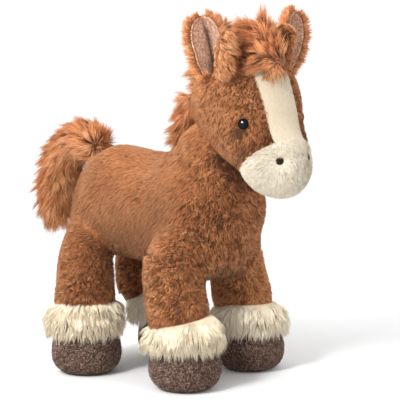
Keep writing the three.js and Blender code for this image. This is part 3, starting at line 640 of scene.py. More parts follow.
def seamShade(points, own):
    # dark where the pile parts along a leg's two seams, 50 degrees to each side of its front
    if own is trunk or own is neck:
        return 0
    x, y, z = placed(points, np.linalg.inv(own["place"])).T
    away = (np.arctan2(np.abs(x), y) - np.radians(50)) * np.hypot(x, y)
    return -0.26 * np.exp(-(away / 1.7) ** 2) * eased(22, 40, z)


def bodyShade(points, own):
    # wide, middling and fine mottling, each leg's painted light, dark seams, and painted shade in creases,
    # folds and between the legs
    rough = nappiness(points)
    mottle = 0.08 * ripple(points, 30, 41) + (0.03 + 0.1 * rough) * ripple(points, 8, 43)
    mottle += (0.05 + 0.2 * rough) * ripple(points, 3.2, 44) + own.get("tone", 0)
    # painted shade on the inner sides of the legs, low down
    shadowBetweenLegs = eased(34, 22, np.abs(points[:, 0])) * eased(100, 84, points[:, 2])
    dark = paintedCreaseShadow(points, own) + seamShade(points, own) + paintedFoldShadow(points) - 0.3 * shadowBetweenLegs
    return 0.65 - 0.12 * rough + mottle + dark


def seated(roots):
    # roots moved out to the body's surface, with its normals
    roots["point"] = ontoBody(roots["point"], roots["normal"])
    roots["normal"] = bodyNormals(roots["point"])
    return roots


def bodyPlush(form, seed, keep):
    roots = scattered(form, seed)
    others = [outside(other, roots["point"]) + other["inset"] for other in bodyForms if other is not form]
    roots = seated(only(roots, (np.min(others, axis=0) > -1.0) & keep(roots)))
    rough = nappiness(roots["point"])
    flow = np.tile([0, 0.55, -0.9], (len(rough), 1))
    shade = bodyShade(roots["point"], form)
    return plush(roots, flow, 0.45 + 0.85 * rough, 0.14 + 0.8 * rough, seed + 1, form, shade, 1 - 0.1 * rough)


def skinShade(points, own):
    return np.clip(bodyShade(points, own) - 0.1, 0.02, 0.98)


# Trunk: two side panels and the belly panel between them

def trunkPanel(name, startTurn, endTurn, keep, seed, replaced):
    alongs = np.clip(evenAlong(trunk["length"], 40), 0.4, trunk["length"] - 0.4)
    points, faces = patch(trunk, alongs, startTurn(alongs), endTurn(alongs), 30, ontoBody)
    skin = plainPart(points, faces, skinShade(points, trunk))
    fur = bodyPlush(trunk, seed, keep)
    addPiece(name, [skin, fur], chestnutPile, replaced, "trunk")


def bellyTurn(alongs):
    # turn from straight down to the belly panel's edge
    wide = between(trunk["stations"], alongs / trunk["length"])[:, 0]
    past = np.maximum(trunk["startRound"] - alongs, 0) / trunk["startRound"]
    over = np.maximum(alongs - trunk["length"] + trunk["endRound"], 0) / trunk["endRound"]
    swell = np.sqrt(np.maximum(1 - np.maximum(past, over) ** 2, 0.15))
    return np.arcsin(np.clip(trunk["bellyHalf"] / (wide * swell), 0, 0.85))


def onBelly(roots):
    fromDown = (roots["turn"] + np.pi / 2 + np.pi) % (2 * np.pi) - np.pi
    return np.abs(fromDown) < bellyTurn(roots["along"])


downTurn, upTurn = -np.pi / 2, np.pi / 2
trunkPanel("trunk_plush_left", lambda a: downTurn + bellyTurn(a), lambda a: upTurn + 0 * a,
           lambda r: ~onBelly(r) & (np.cos(r["turn"]) > 0), 101, ["trunk_panel_left", "trunk_filling"])
trunkPanel("trunk_plush_right", lambda a: upTurn + 0 * a, lambda a: downTurn + 2 * np.pi - bellyTurn(a),
           lambda r: ~onBelly(r) & (np.cos(r["turn"]) <= 0), 102, ["trunk_panel_right"])
trunkPanel("belly_plush", lambda a: downTurn - bellyTurn(a), lambda a: downTurn + bellyTurn(a), onBelly,
           103, ["belly_panel"])
print("trunk made")

# Head forms, which the neck's fur keeps clear of

skull = np.array([0, -22.0, 221])
headTurn, headTilt = -15, -4  # degrees that it turns and leans to its left, so both are to its right
headPlace = chained(moved(0, neckTurnY, 0), turned("z", headTurn), moved(0, 0, skull[2]),
                    turned("y", headTilt), moved(0, 0, -skull[2]))
faceSlope = np.radians(55)
pollRadius = 42
headAxes = np.eye(4)
headAxes[:3, 1] = (0, -np.sin(faceSlope), np.cos(faceSlope))
headAxes[:3, 2] = (0, -np.cos(faceSlope), -np.sin(faceSlope))
head = {
    "length": 127.5, "startRound": pollRadius, "endRound": 28.5,  # poll and muzzle
    "stations": [[0, 40.5, 42, 38], [0.33, 44, 42, 38], [0.55, 37.8, 34.9, 35.7], [0.68, 31.3, 29.1, 29.1],
                 [0.78, 29.4, 28.5, 26.2], [1, 27.1, 27.1, 22.8]],
    "place": chained(headPlace, moved(*skull), headAxes, moved(0, 0, -pollRadius)),
    "inset": 2.2, "perSquare": 2.5, "hairLength": 3.7, "hairWidth": 0.75,
    "seamAlong": 94, "seamDepth": 0.8, "seamWidth": 2.6,
    "blazeTop": 19, "blazeHalf": [[0, 18], [0.45, 16.2], [1, 14.5]],
}

# Neck

points, faces = closedSkin(neck, 34, 44, ontoBody)
skin = plainPart(points, faces, skinShade(points, neck))
roots = scattered(neck, 111)
inTrunk = outside(trunk, roots["point"]) + trunk["inset"] < -1.0
inLegs = np.min([outside(leg, roots["point"]) for leg in legs.values()], axis=0) < 0
inHead = outside(head, roots["point"]) < -6
roots = seated(only(roots, ~(inTrunk | inLegs | inHead)))
rough = np.clip(nappiness(roots["point"]) * 0.8, 0.1, 1)
# painted shadow on the neck under the jaw
jawShadow = (1 - eased(0, 15, outside(head, roots["point"]))) * eased(-52, -76, roots["point"][:, 1])
fur = plush(roots, np.tile([0, 0.35, -0.95], (len(rough), 1)), 0.42 + 0.6 * rough, 0.35 + 0.7 * rough, 112,
            neck, bodyShade(roots["point"], neck) + 0.1 - 0.75 * jawShadow)
piece = addPiece("neck_plush", [skin, fur], chestnutPile, ["neck_cover", "neck_filling"])
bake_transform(piece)
print("neck made")

# Hoof and fetlock forms, which the legs' pile ends at

hoof = {
    "profile": [[0, 0], [0.05, 13], [0.8, 17.5], [3, 22], [7, 25.8], [12, 27.6], [17, 28], [23, 27.3],
                [29, 25.8], [34, 24], [38.5, 21.6], [41, 17], [41.5, 0]],  # height, radius
    "perSquare": 1.9, "loopLength": 2.4, "loopWidth": 1.0, "loopsFrom": 0.9, "loopsTo": 36,
}
fetlock = {
    "profile": [[54, 15], [53.5, 22], [51, 25.5], [46, 27.8], [41, 28.6], [37, 27.6], [35, 24], [35, 14]],
    "foot": 35, "perSquare": 2.05, "strandLength": 14.5, "strandWidth": 0.58, "hem": 51,
    "top": {"fore_right": 54, "fore_left": 56, "hind_right": 61, "hind_left": 57},
    "tilt": {"fore_right": 4.5, "fore_left": -1, "hind_right": 1, "hind_left": 0},
    "tiltWay": (0.58, -0.81), "tiltReach": 25,  # a band's rim rises ahead and to the left, that far out
    "back": {"fore_right": 2, "fore_left": 1, "hind_right": 2, "hind_left": 7},  # middle behind the hoof's
    "clearOfLeg": 21, "clump": 3.6,
}
fetlockTop = fetlock["profile"][0][0]


def fetlockRise(name, points, centre):
    # the band's height above its foot is scaled to the leg, and it may stand higher on one side
    share = (points[:, 2] - fetlock["foot"]) / (fetlockTop - fetlock["foot"])
    wayX, wayY = fetlock["tiltWay"]
    ahead = ((points[:, 0] - centre[0]) * wayX + (points[:, 1] - centre[1]) * wayY) / fetlock["tiltReach"]
    raised = points.copy()
    raised[:, 2] = fetlock["foot"] + share * (fetlock["top"][name] - fetlock["foot"])
    raised[:, 2] += fetlock["tilt"][name] * ahead * np.clip(share, 0, 1)
    return raised


def footOf(name):
    hipX, hipY, lean = legInfo[name][:3]
    return np.array([hipX, hipY - (hipHeight - hoofHeight) * np.tan(np.radians(lean)) - 3.5])


def smoothProfile(profile, rings):
    # a profile of (height, radius), read off at even lengths and smoothed twice
    profile = np.array(profile, float)
    walked = np.concatenate([[0], np.cumsum(np.linalg.norm(np.diff(profile, axis=0), axis=1))])
    share = np.linspace(0, walked[-1], rings)
    height, radius = np.interp(share, walked, profile[:, 0]), np.interp(share, walked, profile[:, 1])
    for _ in range(2):
        height[1:-1] = (height[:-2] + 2 * height[1:-1] + height[2:]) / 4
        radius[1:-1] = (radius[:-2] + 2 * radius[1:-1] + radius[2:]) / 4
    return height, radius


def turnedPoints(height, radius, angle, centre):
    return np.stack([centre[0] + radius * np.cos(angle), centre[1] + radius * np.sin(angle), height], -1)


def turnedMesh(height, radius, centre, sides, rising):
    # a profile turned about an upright axis: rings of points from one end to the other, and the poles
    angle = np.linspace(0, 2 * np.pi, sides + 1)[:-1]
    height, radius = height[:, None], radius[:, None]
    rings = turnedPoints(height + 0 * angle, radius + 0 * angle, angle + 0 * height, centre)
    poles = np.array([[centre[0], centre[1], height[0, 0]], [centre[0], centre[1], height[-1, 0]]])
    faces = ringFaces(len(height), sides)
    return np.concatenate([rings.reshape(-1, 3), poles]), faces if rising else faces[:, ::-1]


def turnedRoots(height, radius, centre, perSquare, seed):
    # roots all over a turned skin, more where it is wide, with the normals of its profile
    chance = np.random.default_rng(seed)
    lengths = np.hypot(np.diff(height), np.diff(radius))
    areas = lengths * np.pi * (radius[1:] + radius[:-1])
    i = chance.choice(len(areas), int(areas.sum() * perSquare), p=areas / areas.sum())
    f = chance.random(i.size)
    rise, spread = height[i] + f * (height[i + 1] - height[i]), radius[i] + f * (radius[i + 1] - radius[i])
    angle = chance.uniform(0, 2 * np.pi, i.size)
    point = turnedPoints(rise, spread, angle, centre)
    outward, upward = (height[i + 1] - height[i]), -(radius[i + 1] - radius[i])
    sign = np.where(height[-1] > height[0], 1, -1)
    normal = unit(np.stack([outward * np.cos(angle), outward * np.sin(angle), upward], 1) * sign)
    return {"point": point, "normal": normal, "chance": chance.random((i.size, 6))}


# Legs

for number, (name, leg) in enumerate(legs.items()):
    points, faces = closedSkin(leg, 26, 36, ontoBody)
    skin = plainPart(points, faces, skinShade(points, leg))
    middle = footOf(name) + [0, fetlock["back"][name]]
    hem = lambda roots: roots["point"][:, 2] > fetlockRise(
        name, roots["point"] * [1, 1, 0] + [0, 0, fetlock["hem"]], middle)[:, 2]
    fur = bodyPlush(leg, 121 + 3 * number, hem)
    piece = addPiece("leg_plush_" + name, [skin, fur], chestnutPile,
                     ["leg_cover_" + name, "leg_filling_" + name])
    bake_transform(piece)
print("legs made")

# Hooves and fetlocks

for number, name in enumerate(legs):
    centre = footOf(name)
    profile = smoothProfile(hoof["profile"], 26)
    points, faces = turnedMesh(*profile, centre, 40, True)
    skin = plainPart(points, faces, np.clip(0.3 + 0.1 * ripple(points, 9, 61), 0, 1), 0.3)
    roots = turnedRoots(*profile, centre, hoof["perSquare"], 141 + number)
    roots = only(roots, (roots["point"][:, 2] > hoof["loopsFrom"]) & (roots["point"][:, 2] < hoof["loopsTo"]))
    chance = roots["chance"]
    side = unit(np.cross(roots["normal"], chance[:, 3:6] - 0.5))
    fleck = (chance[:, 2] > 0.7) * 0.3  # three loops in ten are lighter
    shade = 0.42 + 0.4 * ripple(roots["point"], 2.2, 63) + 0.6 * (chance[:, 1] - 0.5) + fleck
    loops = hairs(roots["point"] - 0.4 * roots["normal"], unit(roots["normal"] + 0.8 * side),
                  0.3 * side - 0.2 * roots["normal"], hoof["loopLength"] * (0.7 + 0.5 * chance[:, 0]),
                  np.full(len(chance), hoof["loopWidth"]), shade, 1)
    loops[0][:, 2] = np.maximum(loops[0][:, 2], 0.1)  # pressed flat where the hoof stands
    addPiece("hoof_boucle_" + name, [skin, loops], hoofPile,
             ["hoof_" + name, "hoof_pellets_" + name], name + "_leg")

    centre = centre + [0, fetlock["back"][name]]
    profile = smoothProfile(fetlock["profile"], 18)
    points, faces = turnedMesh(*profile, centre, 36, False)
    skin = plainPart(fetlockRise(name, points, centre), faces, 0.45)
    roots = turnedRoots(*profile, centre, fetlock["perSquare"], 151 + number)
    roots["rise"] = eased(fetlock["foot"], fetlockTop, roots["point"][:, 2])
    roots["point"] = fetlockRise(name, roots["point"], centre)
    clearOfLeg = np.hypot(*(roots["point"][:, :2] - centre).T) > fetlock["clearOfLeg"]
    roots = only(roots, (roots["rise"] > 0.01) & clearOfLeg)
    chance, rise = roots["chance"], roots["rise"]
    tilt, middle = tuftCells(roots["point"], fetlock["clump"], 155 + number)
    fanned = 0.12 * tilt + 0.4 * swirl(roots["point"], 14.0, 157 + number)
    outward = unit(roots["normal"] * [1, 1, 0])
    direction = unit(outward * (0.66 + 0.35 * rise)[:, None] + [0, 0, -0.75] + fanned)
    gather = (middle - roots["point"]) * [1, 1, 0] * 0.06
    bend = np.array([0, 0, -0.25]) - outward * 0.3 + gather + 0.05 * (chance[:, 3:6] - 0.5)
    length = fetlock["strandLength"] * (0.65 + 0.5 * chance[:, 0]) * (0.75 + 0.3 * rise)
    # the left fetlocks, on the side away from the lamps, are painted lighter: painted light
    shade = 0.71 + 0.13 * name.endswith("left") + 0.1 * ripple(roots["point"], 7, 65)
    shade += 0.2 * (chance[:, 2] - 0.5) + 0.05 * tilt[:, 1]
    strands = hairs(roots["point"], direction, bend, length,
                    fetlock["strandWidth"] * (0.7 + 0.5 * chance[:, 1]), shade)
    addPiece("fetlock_pile_" + name, [skin, strands], longCreamPile, ["fetlock_" + name],
             name + "_leg")
print("hooves and fetlocks made")

# Head: cheeks, blaze and muzzle, with a dimple at each eye and nostril

buttons = {  # place on the head, dome, the dimple that it pulls in, and how near to it hairs may stand
    "eye": {"along": 72, "turn": 31.5, "radius": 4.1, "rise": 0.66, "sink": 1.5, "dimple": 2.4,
            "dimpleReach": 8, "clear": 0.95, "material": eyeBlack, "slot": "glossy_black"},
    "nostril": {"along": 108, "turn": 52, "radius": 3.2, "rise": 0.34, "sink": 2.8, "dimple": 2.0,
                "dimpleReach": 6, "clear": 0.85, "material": nostrilBrown, "slot": "brown_button"}}
eyeFold = {"offset": [0, 4.5, -6.0], "depth": 0.3, "reach": 4.5}  # under and behind each eye
straightHead = {**head, "place": np.eye(4)}


def headSeat(along, turnDegrees, side):
    # a point on the head's skin, with its normal: its way along, and its turn from the side to the face
    turn = np.radians(turnDegrees if side > 0 else 180 - turnDegrees)
    along, turn = np.array([float(along)]), np.array([turn])
    return formPoints(head, along, turn)[0], normalsOf(head, along, turn)[0]


seats = {(kind, side): headSeat(info["along"], info["turn"], side)
         for kind, info in buttons.items() for side in (1, -1)}
underEye = {side: seats["eye", side][0] + headPlace[:3, :3] @ eyeFold["offset"] for side in (1, -1)}


def dimpled(points, normals):
    # the skin sinks round each eye and nostril, under each eye and along the sides of the muzzle's seam
    depth = np.zeros(len(points))
    for (kind, side), (seat, _) in seats.items():
        depth += buttons[kind]["dimple"] * bell(points, seat, buttons[kind]["dimpleReach"])
        if kind == "eye":
            depth += eyeFold["depth"] * bell(points, underEye[side], eyeFold["reach"])
    across, _, along = placed(points, np.linalg.inv(head["place"])).T
    fromSeam = (along - head["seamAlong"]) / head["seamWidth"]
    depth += head["seamDepth"] * eased(14, 22, np.abs(across)) * np.exp(-fromSeam ** 2)
    return points - normals * depth[:, None]


def blazeHalf(along):
    share = (along - head["blazeTop"]) / (head["seamAlong"] - head["blazeTop"])
    return between(head["blazeHalf"], np.clip(share, 0, 1))[..., 0]


def blazeTurn(alongs):
    # turn from the middle of the face to the blaze's edge, which opens at its top
    edge = formPoints(straightHead, alongs, np.zeros(len(alongs)), head["inset"])[:, 0]
    opening = eased(head["blazeTop"] - 6, head["blazeTop"] + 6, alongs)
    return np.arcsin(np.clip(blazeHalf(alongs) / np.maximum(edge, 0.1), 0, 0.9)) * opening


headRoots = scattered(head, 161)
rootAlong, rootTurn = headRoots["along"], headRoots["turn"]
local = formPoints(straightHead, rootAlong, rootTurn, head["inset"])
fromMiddle = np.abs(local[:, 0])
onFace = np.sin(rootTurn) > 0
onMuzzle = rootAlong > head["seamAlong"]
fromBlaze = fromMiddle - blazeHalf(rootAlong)
onBlaze = onFace & ~onMuzzle & (fromBlaze < 0) & (rootAlong > head["blazeTop"])
headPoint = headRoots["point"] = dimpled(headRoots["point"], headRoots["normal"])
shown = outside(neck, headPoint) >= -8  # no hairs deep in the neck, nor on the eyes and nostrils
for (kind, side), (seat, _) in seats.items():
    shown &= np.linalg.norm(headPoint - seat, axis=1) >= buttons[kind]["radius"] * buttons[kind]["clear"]


def fromSeats(points):
    # away from the nearest eye and nostril, fading out with distance
    push = np.zeros_like(points)
    for (kind, side), (seat, _) in seats.items():
        away = points - seat
        distance = np.linalg.norm(away, axis=1, keepdims=True)
        push += away / np.maximum(distance, 0.1) * np.exp(-(distance / (buttons[kind]["radius"] * 2.2)) ** 2)
    return push


def headFur(keep, flow, upright, curl, shade, seed, sizes, info=head):
    keep = keep & shown
    roots = only(headRoots, keep)
    flow = np.broadcast_to(flow, headPoint.shape)[keep] + 1.6 * fromSeats(roots["point"])
    upright, curl, shade, sizes = [np.broadcast_to(value, keep.shape)[keep]
                                   for value in (upright, curl, shade, sizes)]
    return plush(roots, flow, upright, curl, seed, info, shade, sizes)


hollows = placed(np.array([[side * x, y, z] for side in (1, -1)
                           for x, y, z in ((16, -40, 259.0), (17, -30, 258), (9, -18, 262))]), headPlace)


def paintedHollowShadow(points):
    # painted shade in the hollow between the forelock and each ear
    return -1.1 * np.max([bell(points, hollow, 10) for hollow in hollows], axis=0)


headDown = headPlace[:3, :3] @ np.array([0, 0.25, -1.0])
faceDown = head["place"][:3, 2]
nearBlaze = onFace * np.exp(-np.maximum(fromBlaze, 0) / 9)
jaw = eased(60, 92, rootAlong) * eased(0.2, -0.6, np.sin(rootTurn))
# painted shade round each eye, and most in the socket under and behind it
nearEye = np.zeros(len(rootAlong))
for side in (1, -1):
    nearEye += 0.8 * bell(headPoint, seats["eye", side][0], 5.5)
    nearEye += 2.0 * bell(headPoint, underEye[side], 4.0)
darkAboveMuzzle = np.exp(-((rootAlong - head["seamAlong"] + 6) / 6) ** 2)  # darker pile just above the muzzle
headRough = np.clip(0.6 + 0.35 * ripple(headPoint, 34, 71) + 0.4 * nearBlaze, 0.25, 1)
cheekShade = (0.81 + 0.12 * ripple(headPoint, 26, 73) + 0.1 * ripple(headPoint, 6, 75)
              + (0.05 + 0.2 * headRough) * ripple(headPoint, 3.2, 76) + paintedHollowShadow(headPoint)
              - 0.28 * nearBlaze - 0.6 * nearEye - 0.45 * darkAboveMuzzle + 0.05 * jaw)
alongs = np.clip(evenAlong(head["length"], 44), 0.4, head["length"] - 0.4)
cheekAlongs = np.append(alongs[alongs < head["seamAlong"] - 0.5], head["seamAlong"])
besideCream = np.minimum(np.where(onFace, np.maximum(fromBlaze, 0), 99), head["seamAlong"] - rootAlong)
cheekSizes = (0.45 + 0.55 * eased(0, 5, besideCream)) * (1 - 0.4 * np.clip(nearEye, 0, 1))
for side, name in ((1, "left"), (-1, "right")):
    if side > 0:
        turns = downTurn + 0 * cheekAlongs, upTurn - blazeTurn(cheekAlongs)
    else:
        turns = upTurn + blazeTurn(cheekAlongs), downTurn + 2 * np.pi + 0 * cheekAlongs
    points, faces = patch(head, cheekAlongs, *turns, 28, dimpled)
    skin = plainPart(points, faces, 0.42 + 0.1 * ripple(points, 26, 73))
    keep = (np.cos(rootTurn) * side > 0) & ~onMuzzle & ~onBlaze
    fur = headFur(keep, headDown, 0.5 + 0.7 * headRough, 0.4 + 0.6 * headRough, cheekShade, 171 + side,
                  cheekSizes)
    addPiece("cheek_plush_" + name, [skin, fur], chestnutPile, ["cheek_panel_" + name],
             "head")

cream = {"hairLength": 3.6, "hairWidth": 0.75, "depth": 0.15, "grain": 0.32, "tuft": 0.1}
smoothCream = {"hairLength": 2.2, "hairWidth": 1.0, "depth": 0.15, "grain": 0.16, "tuft": 0.02}
creamShade = 0.58 + 0.05 * ripple(headPoint, 22, 77) + 0.015 * ripple(headPoint, 6, 79)
blazeAlongs = cheekAlongs[cheekAlongs > head["blazeTop"] - 6]
edgeTurn = blazeTurn(blazeAlongs)
lap = 0.02  # radians by which the blaze overlaps the cheeks
points, faces = patch(head, blazeAlongs, upTurn - edgeTurn - lap, upTurn + edgeTurn + lap, 14, dimpled)
fur = headFur(onBlaze, faceDown, 0.16, 0, creamShade + 0.06, 175, 1, smoothCream)
addPiece("blaze_plush", [plainPart(points, faces, 0.66, 0.5), fur], creamPile, ["blaze_panel"],
         "head", smooth=False)

# the muzzle's pile runs down the nose, and back and down to the cheeks and the chin
muzzleAlongs = np.append(head["seamAlong"], alongs[alongs > head["seamAlong"] + 0.5])
points, faces = patch(head, muzzleAlongs, 0 * muzzleAlongs - np.pi, 0 * muzzleAlongs + np.pi, 56, dimpled)
onNose = eased(23, 11, fromMiddle) * eased(-2, 12, local[:, 1])
backDown = headPlace[:3, :3] @ unit(np.array([0, 1.0, -0.6]))
muzzleFlow = faceDown * onNose[:, None] + backDown * (1 - onNose)[:, None]
pastSeam = eased(0, 14, rootAlong - head["seamAlong"])
fluffy = np.maximum(pastSeam, 1 - onNose)  # 0 where the muzzle runs on from the blaze
muzzleUp = 0.3 + (0.4 + 0.08 * ripple(headPoint, 20, 81)) * fluffy
nearNostril = np.min([np.linalg.norm(headPoint - seats["nostril", side][0], axis=1)
                      for side in (1, -1)], axis=0)
fluffy = fluffy * eased(4, 10, nearNostril)
# the nose's pile is painted lighter, as painted light where the lamps leave it darker
muzzleShade = creamShade + 0.2 + 0.08 * fluffy + 0.06 * onNose
fur = headFur(onMuzzle, muzzleFlow, muzzleUp, 0.3 * fluffy, muzzleShade, 177, 0.6 + 0.5 * fluffy, cream)
addPiece("muzzle_plush", [plainPart(points, faces, 0.55, 0.5), fur], creamPile,
         ["muzzle_cover", "head_filling"], "head", smooth=False)

for (kind, side), (seat, normal) in seats.items():
    # half an ellipse turned about the skin's normal, on a shank
    info = buttons[kind]
    radius = info["radius"]
    angle = np.linspace(0, np.pi / 2, 10)
    height = np.concatenate([[-2.2, -1.2], radius * info["rise"] * np.sin(angle[:-1])])
    width = np.concatenate([[radius * 0.6, radius * 0.97], radius * np.cos(angle[:-1])])
    points, faces = turnedMesh(height, width, (0, 0), 28, True)
    points[-1, 2] = radius * info["rise"]
    sideways = unit(np.cross([0.1, 0.2, 1.0], normal))
    onSkin = np.eye(4)
    onSkin[:3, :3] = np.stack([sideways, np.cross(normal, sideways), normal], 1)
    onSkin[:3, 3] = seat - normal * (info["sink"] + info["dimple"] * 0.6)
    name = kind + ("_left" if side > 0 else "_right")
    addPiece(name + "_dome", [(placed(points, onSkin), faces, None)], info["material"], [name],
             "head")
for name in ("eye_washer_left", "eye_washer_right"):
    node = frame["nodes"][name]
    for index in range(len(node.material_slots)):
        node.material_slots[index].material = washerPlastic
print("head made")

# Ears: a cupped leaf of plush with a velour lining, folded near its inner edge, which rolls outwards

ear = {
    "hinge": (36.5, -27, 243), "foot": 8, "thickness": 2.2, "liningThickness": 0.8,
    "foldAcross": 0.42, "foldSlant": 0.5,
    "hairs": 6000, "hairLength": 6.8, "hairWidth": 0.7, "tuftSize": 4.0,
    "rollHairLength": 7.2, "rollHairWidth": 0.75,
}
earSides = {  # side, splay, outward turn, length, and the roll's way inwards, forward and up, and its tilt
    "left": (1, 26, 8, 47, (13.5, 8, 3, 10)), "right": (-1, 7, 36, 43, (6.5, 11, 7, 16))}
earAcross = [  # share from the inner edge to the outer, way out across the ear, way forward in its depth
    [0, -0.95, 0.6], [0.2, -0.62, 0.1], [0.36, -0.2, -0.72], [ear["foldAcross"], -0.05, -0.86],
    [0.5, 0.14, -0.55], [0.75, 0.62, -0.1], [0.92, 0.94, 0.15], [1, 1.0, 0.4]]
earUp = [  # share of the height, half width, depth
    [0, 5, 6], [0.2, 7.8, 8], [0.4, 9.2, 8.5], [0.65, 10.4, 7.5], [0.85, 8.6, 5], [0.95, 5.6, 3],
    [1, 1.6, 1.5]]


def earSheet(across, up, side, length, behind=0.0):
    # the section is one smooth line, drawn wider or deeper at each height, whose fold lies nearer the inner
    # edge at the ear's foot; behind is a distance from the lining towards the back, square to the sheet
    def surface(across, up):
        out, ahead = np.moveaxis(between(earAcross, across), -1, 0)
        half, depth = np.moveaxis(between(earUp, up), -1, 0)
        out = out - ear["foldSlant"] * (1 - up) * np.sin(np.pi * across)
        return np.stack([-side * out * half, ahead * depth - 5 * up ** 2 + 1, ear["foot"] + up * length], -1)
    step = 0.004
    a, b = np.clip(across - step, 0, 1), np.clip(across + step, 0, 1)
    c, d = np.clip(up - step, 0, 1), np.clip(up + step, 0, 1)
    normal = unit(np.cross(surface(b, up) - surface(a, up), surface(across, d) - surface(across, c))) * side
    return surface(across, up) - behind * normal, -normal


def earGrid(side, foot, top):
    across, up = np.meshgrid(np.linspace(0, 1, 41), np.linspace(foot, top, 33))
    return (across if side > 0 else across[:, ::-1]), up


def earPatch(place, side, length, foot, top, front, back):
    return closedSheet(*[placed(earSheet(*earGrid(side, foot, top), side, length, depth)[0], place)
                         for depth in (front, back)])


for name, (side, splay, outTurn, length, (inwards, forward, lift, lean)) in earSides.items():
    hingeX, hingeY, hingeZ = ear["hinge"]
    place = chained(headPlace, moved(side * hingeX, hingeY, hingeZ), turned("y", side * splay),
                    turned("z", 180 + side * outTurn), moved(0, 0, -ear["foot"]))
    facing = place[:3, :3]
    backDepth = ear["liningThickness"] + ear["thickness"]
    points, faces = earPatch(place, side, length, -0.12, 1, ear["liningThickness"], backDepth)
    skin = plainPart(points, faces, 0.5, 0.5)
    # more hairs near the edges, and there some stand on the rim between the back and the lining
    chance = np.random.default_rng(181 + side)
    across = 0.5 - 0.5 * np.cos(np.pi * chance.uniform(0, 1, ear["hairs"]))
    up = 1 - 1.05 * chance.uniform(0, 1, ear["hairs"]) ** 1.2
    onRim = np.maximum(eased(0.97, 1.0, across), eased(0.03, 0.0, across))
    onRim = np.maximum(onRim, eased(0.97, 1, up)) * chance.uniform(0, 1, ear["hairs"]) * ear["thickness"]
    local, behind = earSheet(across, up, side, length, (backDepth - 0.3 - onRim)[:, None])
    higher = earSheet(across, np.minimum(up + 0.02, 1), side, length, backDepth)[0]
    further = earSheet(np.clip(across + 0.02, 0.03, 1), up, side, length)[0]
    nearer = earSheet(np.clip(across - 0.02, 0, 0.97), up, side, length)[0]
    roots, normal, upward = placed(local, place), behind @ facing.T, unit(higher - local) @ facing.T
    outward = unit(further - nearer) @ facing.T * np.sign(across - 0.5)[:, None]
    randomly = chance.random((len(roots), 6))
    tilt = tuftCells(roots, ear["tuftSize"], 185)[0]
    nearEdge = np.maximum(eased(0.8, 1.0, across), eased(0.14, 0.0, across))
    nearTip = eased(0.85, 1, up)
    direction = unit(normal * (0.75 - 0.35 * nearEdge)[:, None] + outward * (0.9 * nearEdge)[:, None]
                     + upward * (0.3 + 0.5 * nearTip)[:, None] + 0.25 * tilt)
    bend = 0.2 * upward - 0.1 * normal + 0.3 * (randomly[:, :3] - 0.5)
    reach = ear["hairLength"] * (0.6 + 0.6 * randomly[:, 3]) * (1 - 0.35 * nearTip)
    shade = 0.66 + 0.15 * ripple(roots, 8, 83) + 0.3 * (randomly[:, 4] - 0.5) + 0.06 * tilt[:, 0]
    fur = hairs(roots, direction, bend, reach, ear["hairWidth"] * (0.8 + 0.4 * randomly[:, 5]), shade)

    roll = {"length": 36, "startRound": 8, "endRound": 9, "inset": 0.5, "perSquare": 1.8,
            "stations": [[0, 6, 6, 6], [0.5, 7, 7.5, 7.5], [1, 6, 7, 7]],
            "place": chained(place, moved(side * inwards, forward, lift), turned("y", side * lean))}
    rollSkin = plainPart(*closedSkin(roll, 16, 16), 0.4)
    on = scattered(roll, 187 + side)
    away = np.array([side * 0.5, 0.6, -0.75]) @ facing.T
    tilt = tuftCells(on["point"], ear["tuftSize"], 189)[0]
    direction = unit(0.6 * on["normal"] + 0.75 * away + 0.3 * tilt)
    bend = -0.25 * on["normal"] + 0.25 * away + 0.3 * (on["chance"][:, :3] - 0.5)
    # painted shade on the roll's side turned in towards the middle of the head
    innerWay = headPlace[:3, :3] @ np.array([-side, 0.0, 0.0])
    shade = 0.78 - 0.6 * eased(0.1, 0.8, on["normal"] @ innerWay) + 0.16 * ripple(on["point"], 6, 95)
    shade += 0.3 * (on["chance"][:, 4] - 0.5) + 0.06 * tilt[:, 0] + paintedHollowShadow(on["point"])
    rollFur = hairs(on["point"] - 0.5 * on["normal"], direction, bend,
                    ear["rollHairLength"] * (0.6 + 0.6 * on["chance"][:, 3]),
                    ear["rollHairWidth"] * (0.8 + 0.4 * on["chance"][:, 5]), shade)
    addPiece("ear_plush_" + name, [skin, fur, rollSkin, rollFur], longChestnutPile,
             ["ear_" + name], name + "_ear")

    # the lining has painted shade in its fold and at its foot, and is lighter at its rim
    points, faces = earPatch(place, side, length, 0, 0.995, 0, ear["liningThickness"] + 0.1)
    across, up = earGrid(side, 0, 1)
    foldShadow = np.exp(-((across - ear["foldAcross"]) / 0.07) ** 2) * eased(0.95, 0.75, up)
    foldShadow += 0.9 * eased(0.36, 0.05, up) * eased(0.9, 0.5, across)
    rim = eased(0.95, 1, across) + eased(0.05, 0, across) + eased(0.96, 1, up)
    light = np.tile(np.clip(0.48 - 0.5 * foldShadow + 0.3 * rim, 0, 1).ravel(), 2)
    addPiece("ear_velour_" + name, [(points, faces, np.stack([light, light], 1))], earVelour,
             ["ear_lining_" + name], name + "_ear")
print("ears made")

# Long pile: tail, mane and forelock

def pileSkin(form, carrier, buried):
    # a form's skin, and roots on it where its carrier doesn't bury them
    roots = scattered(form, form["seed"])
    roots = only(roots, outside(carrier, roots["point"]) > -buried)
    return plainPart(*closedSkin(form, form["rings"], form["sides"]), form["skinTone"]), roots


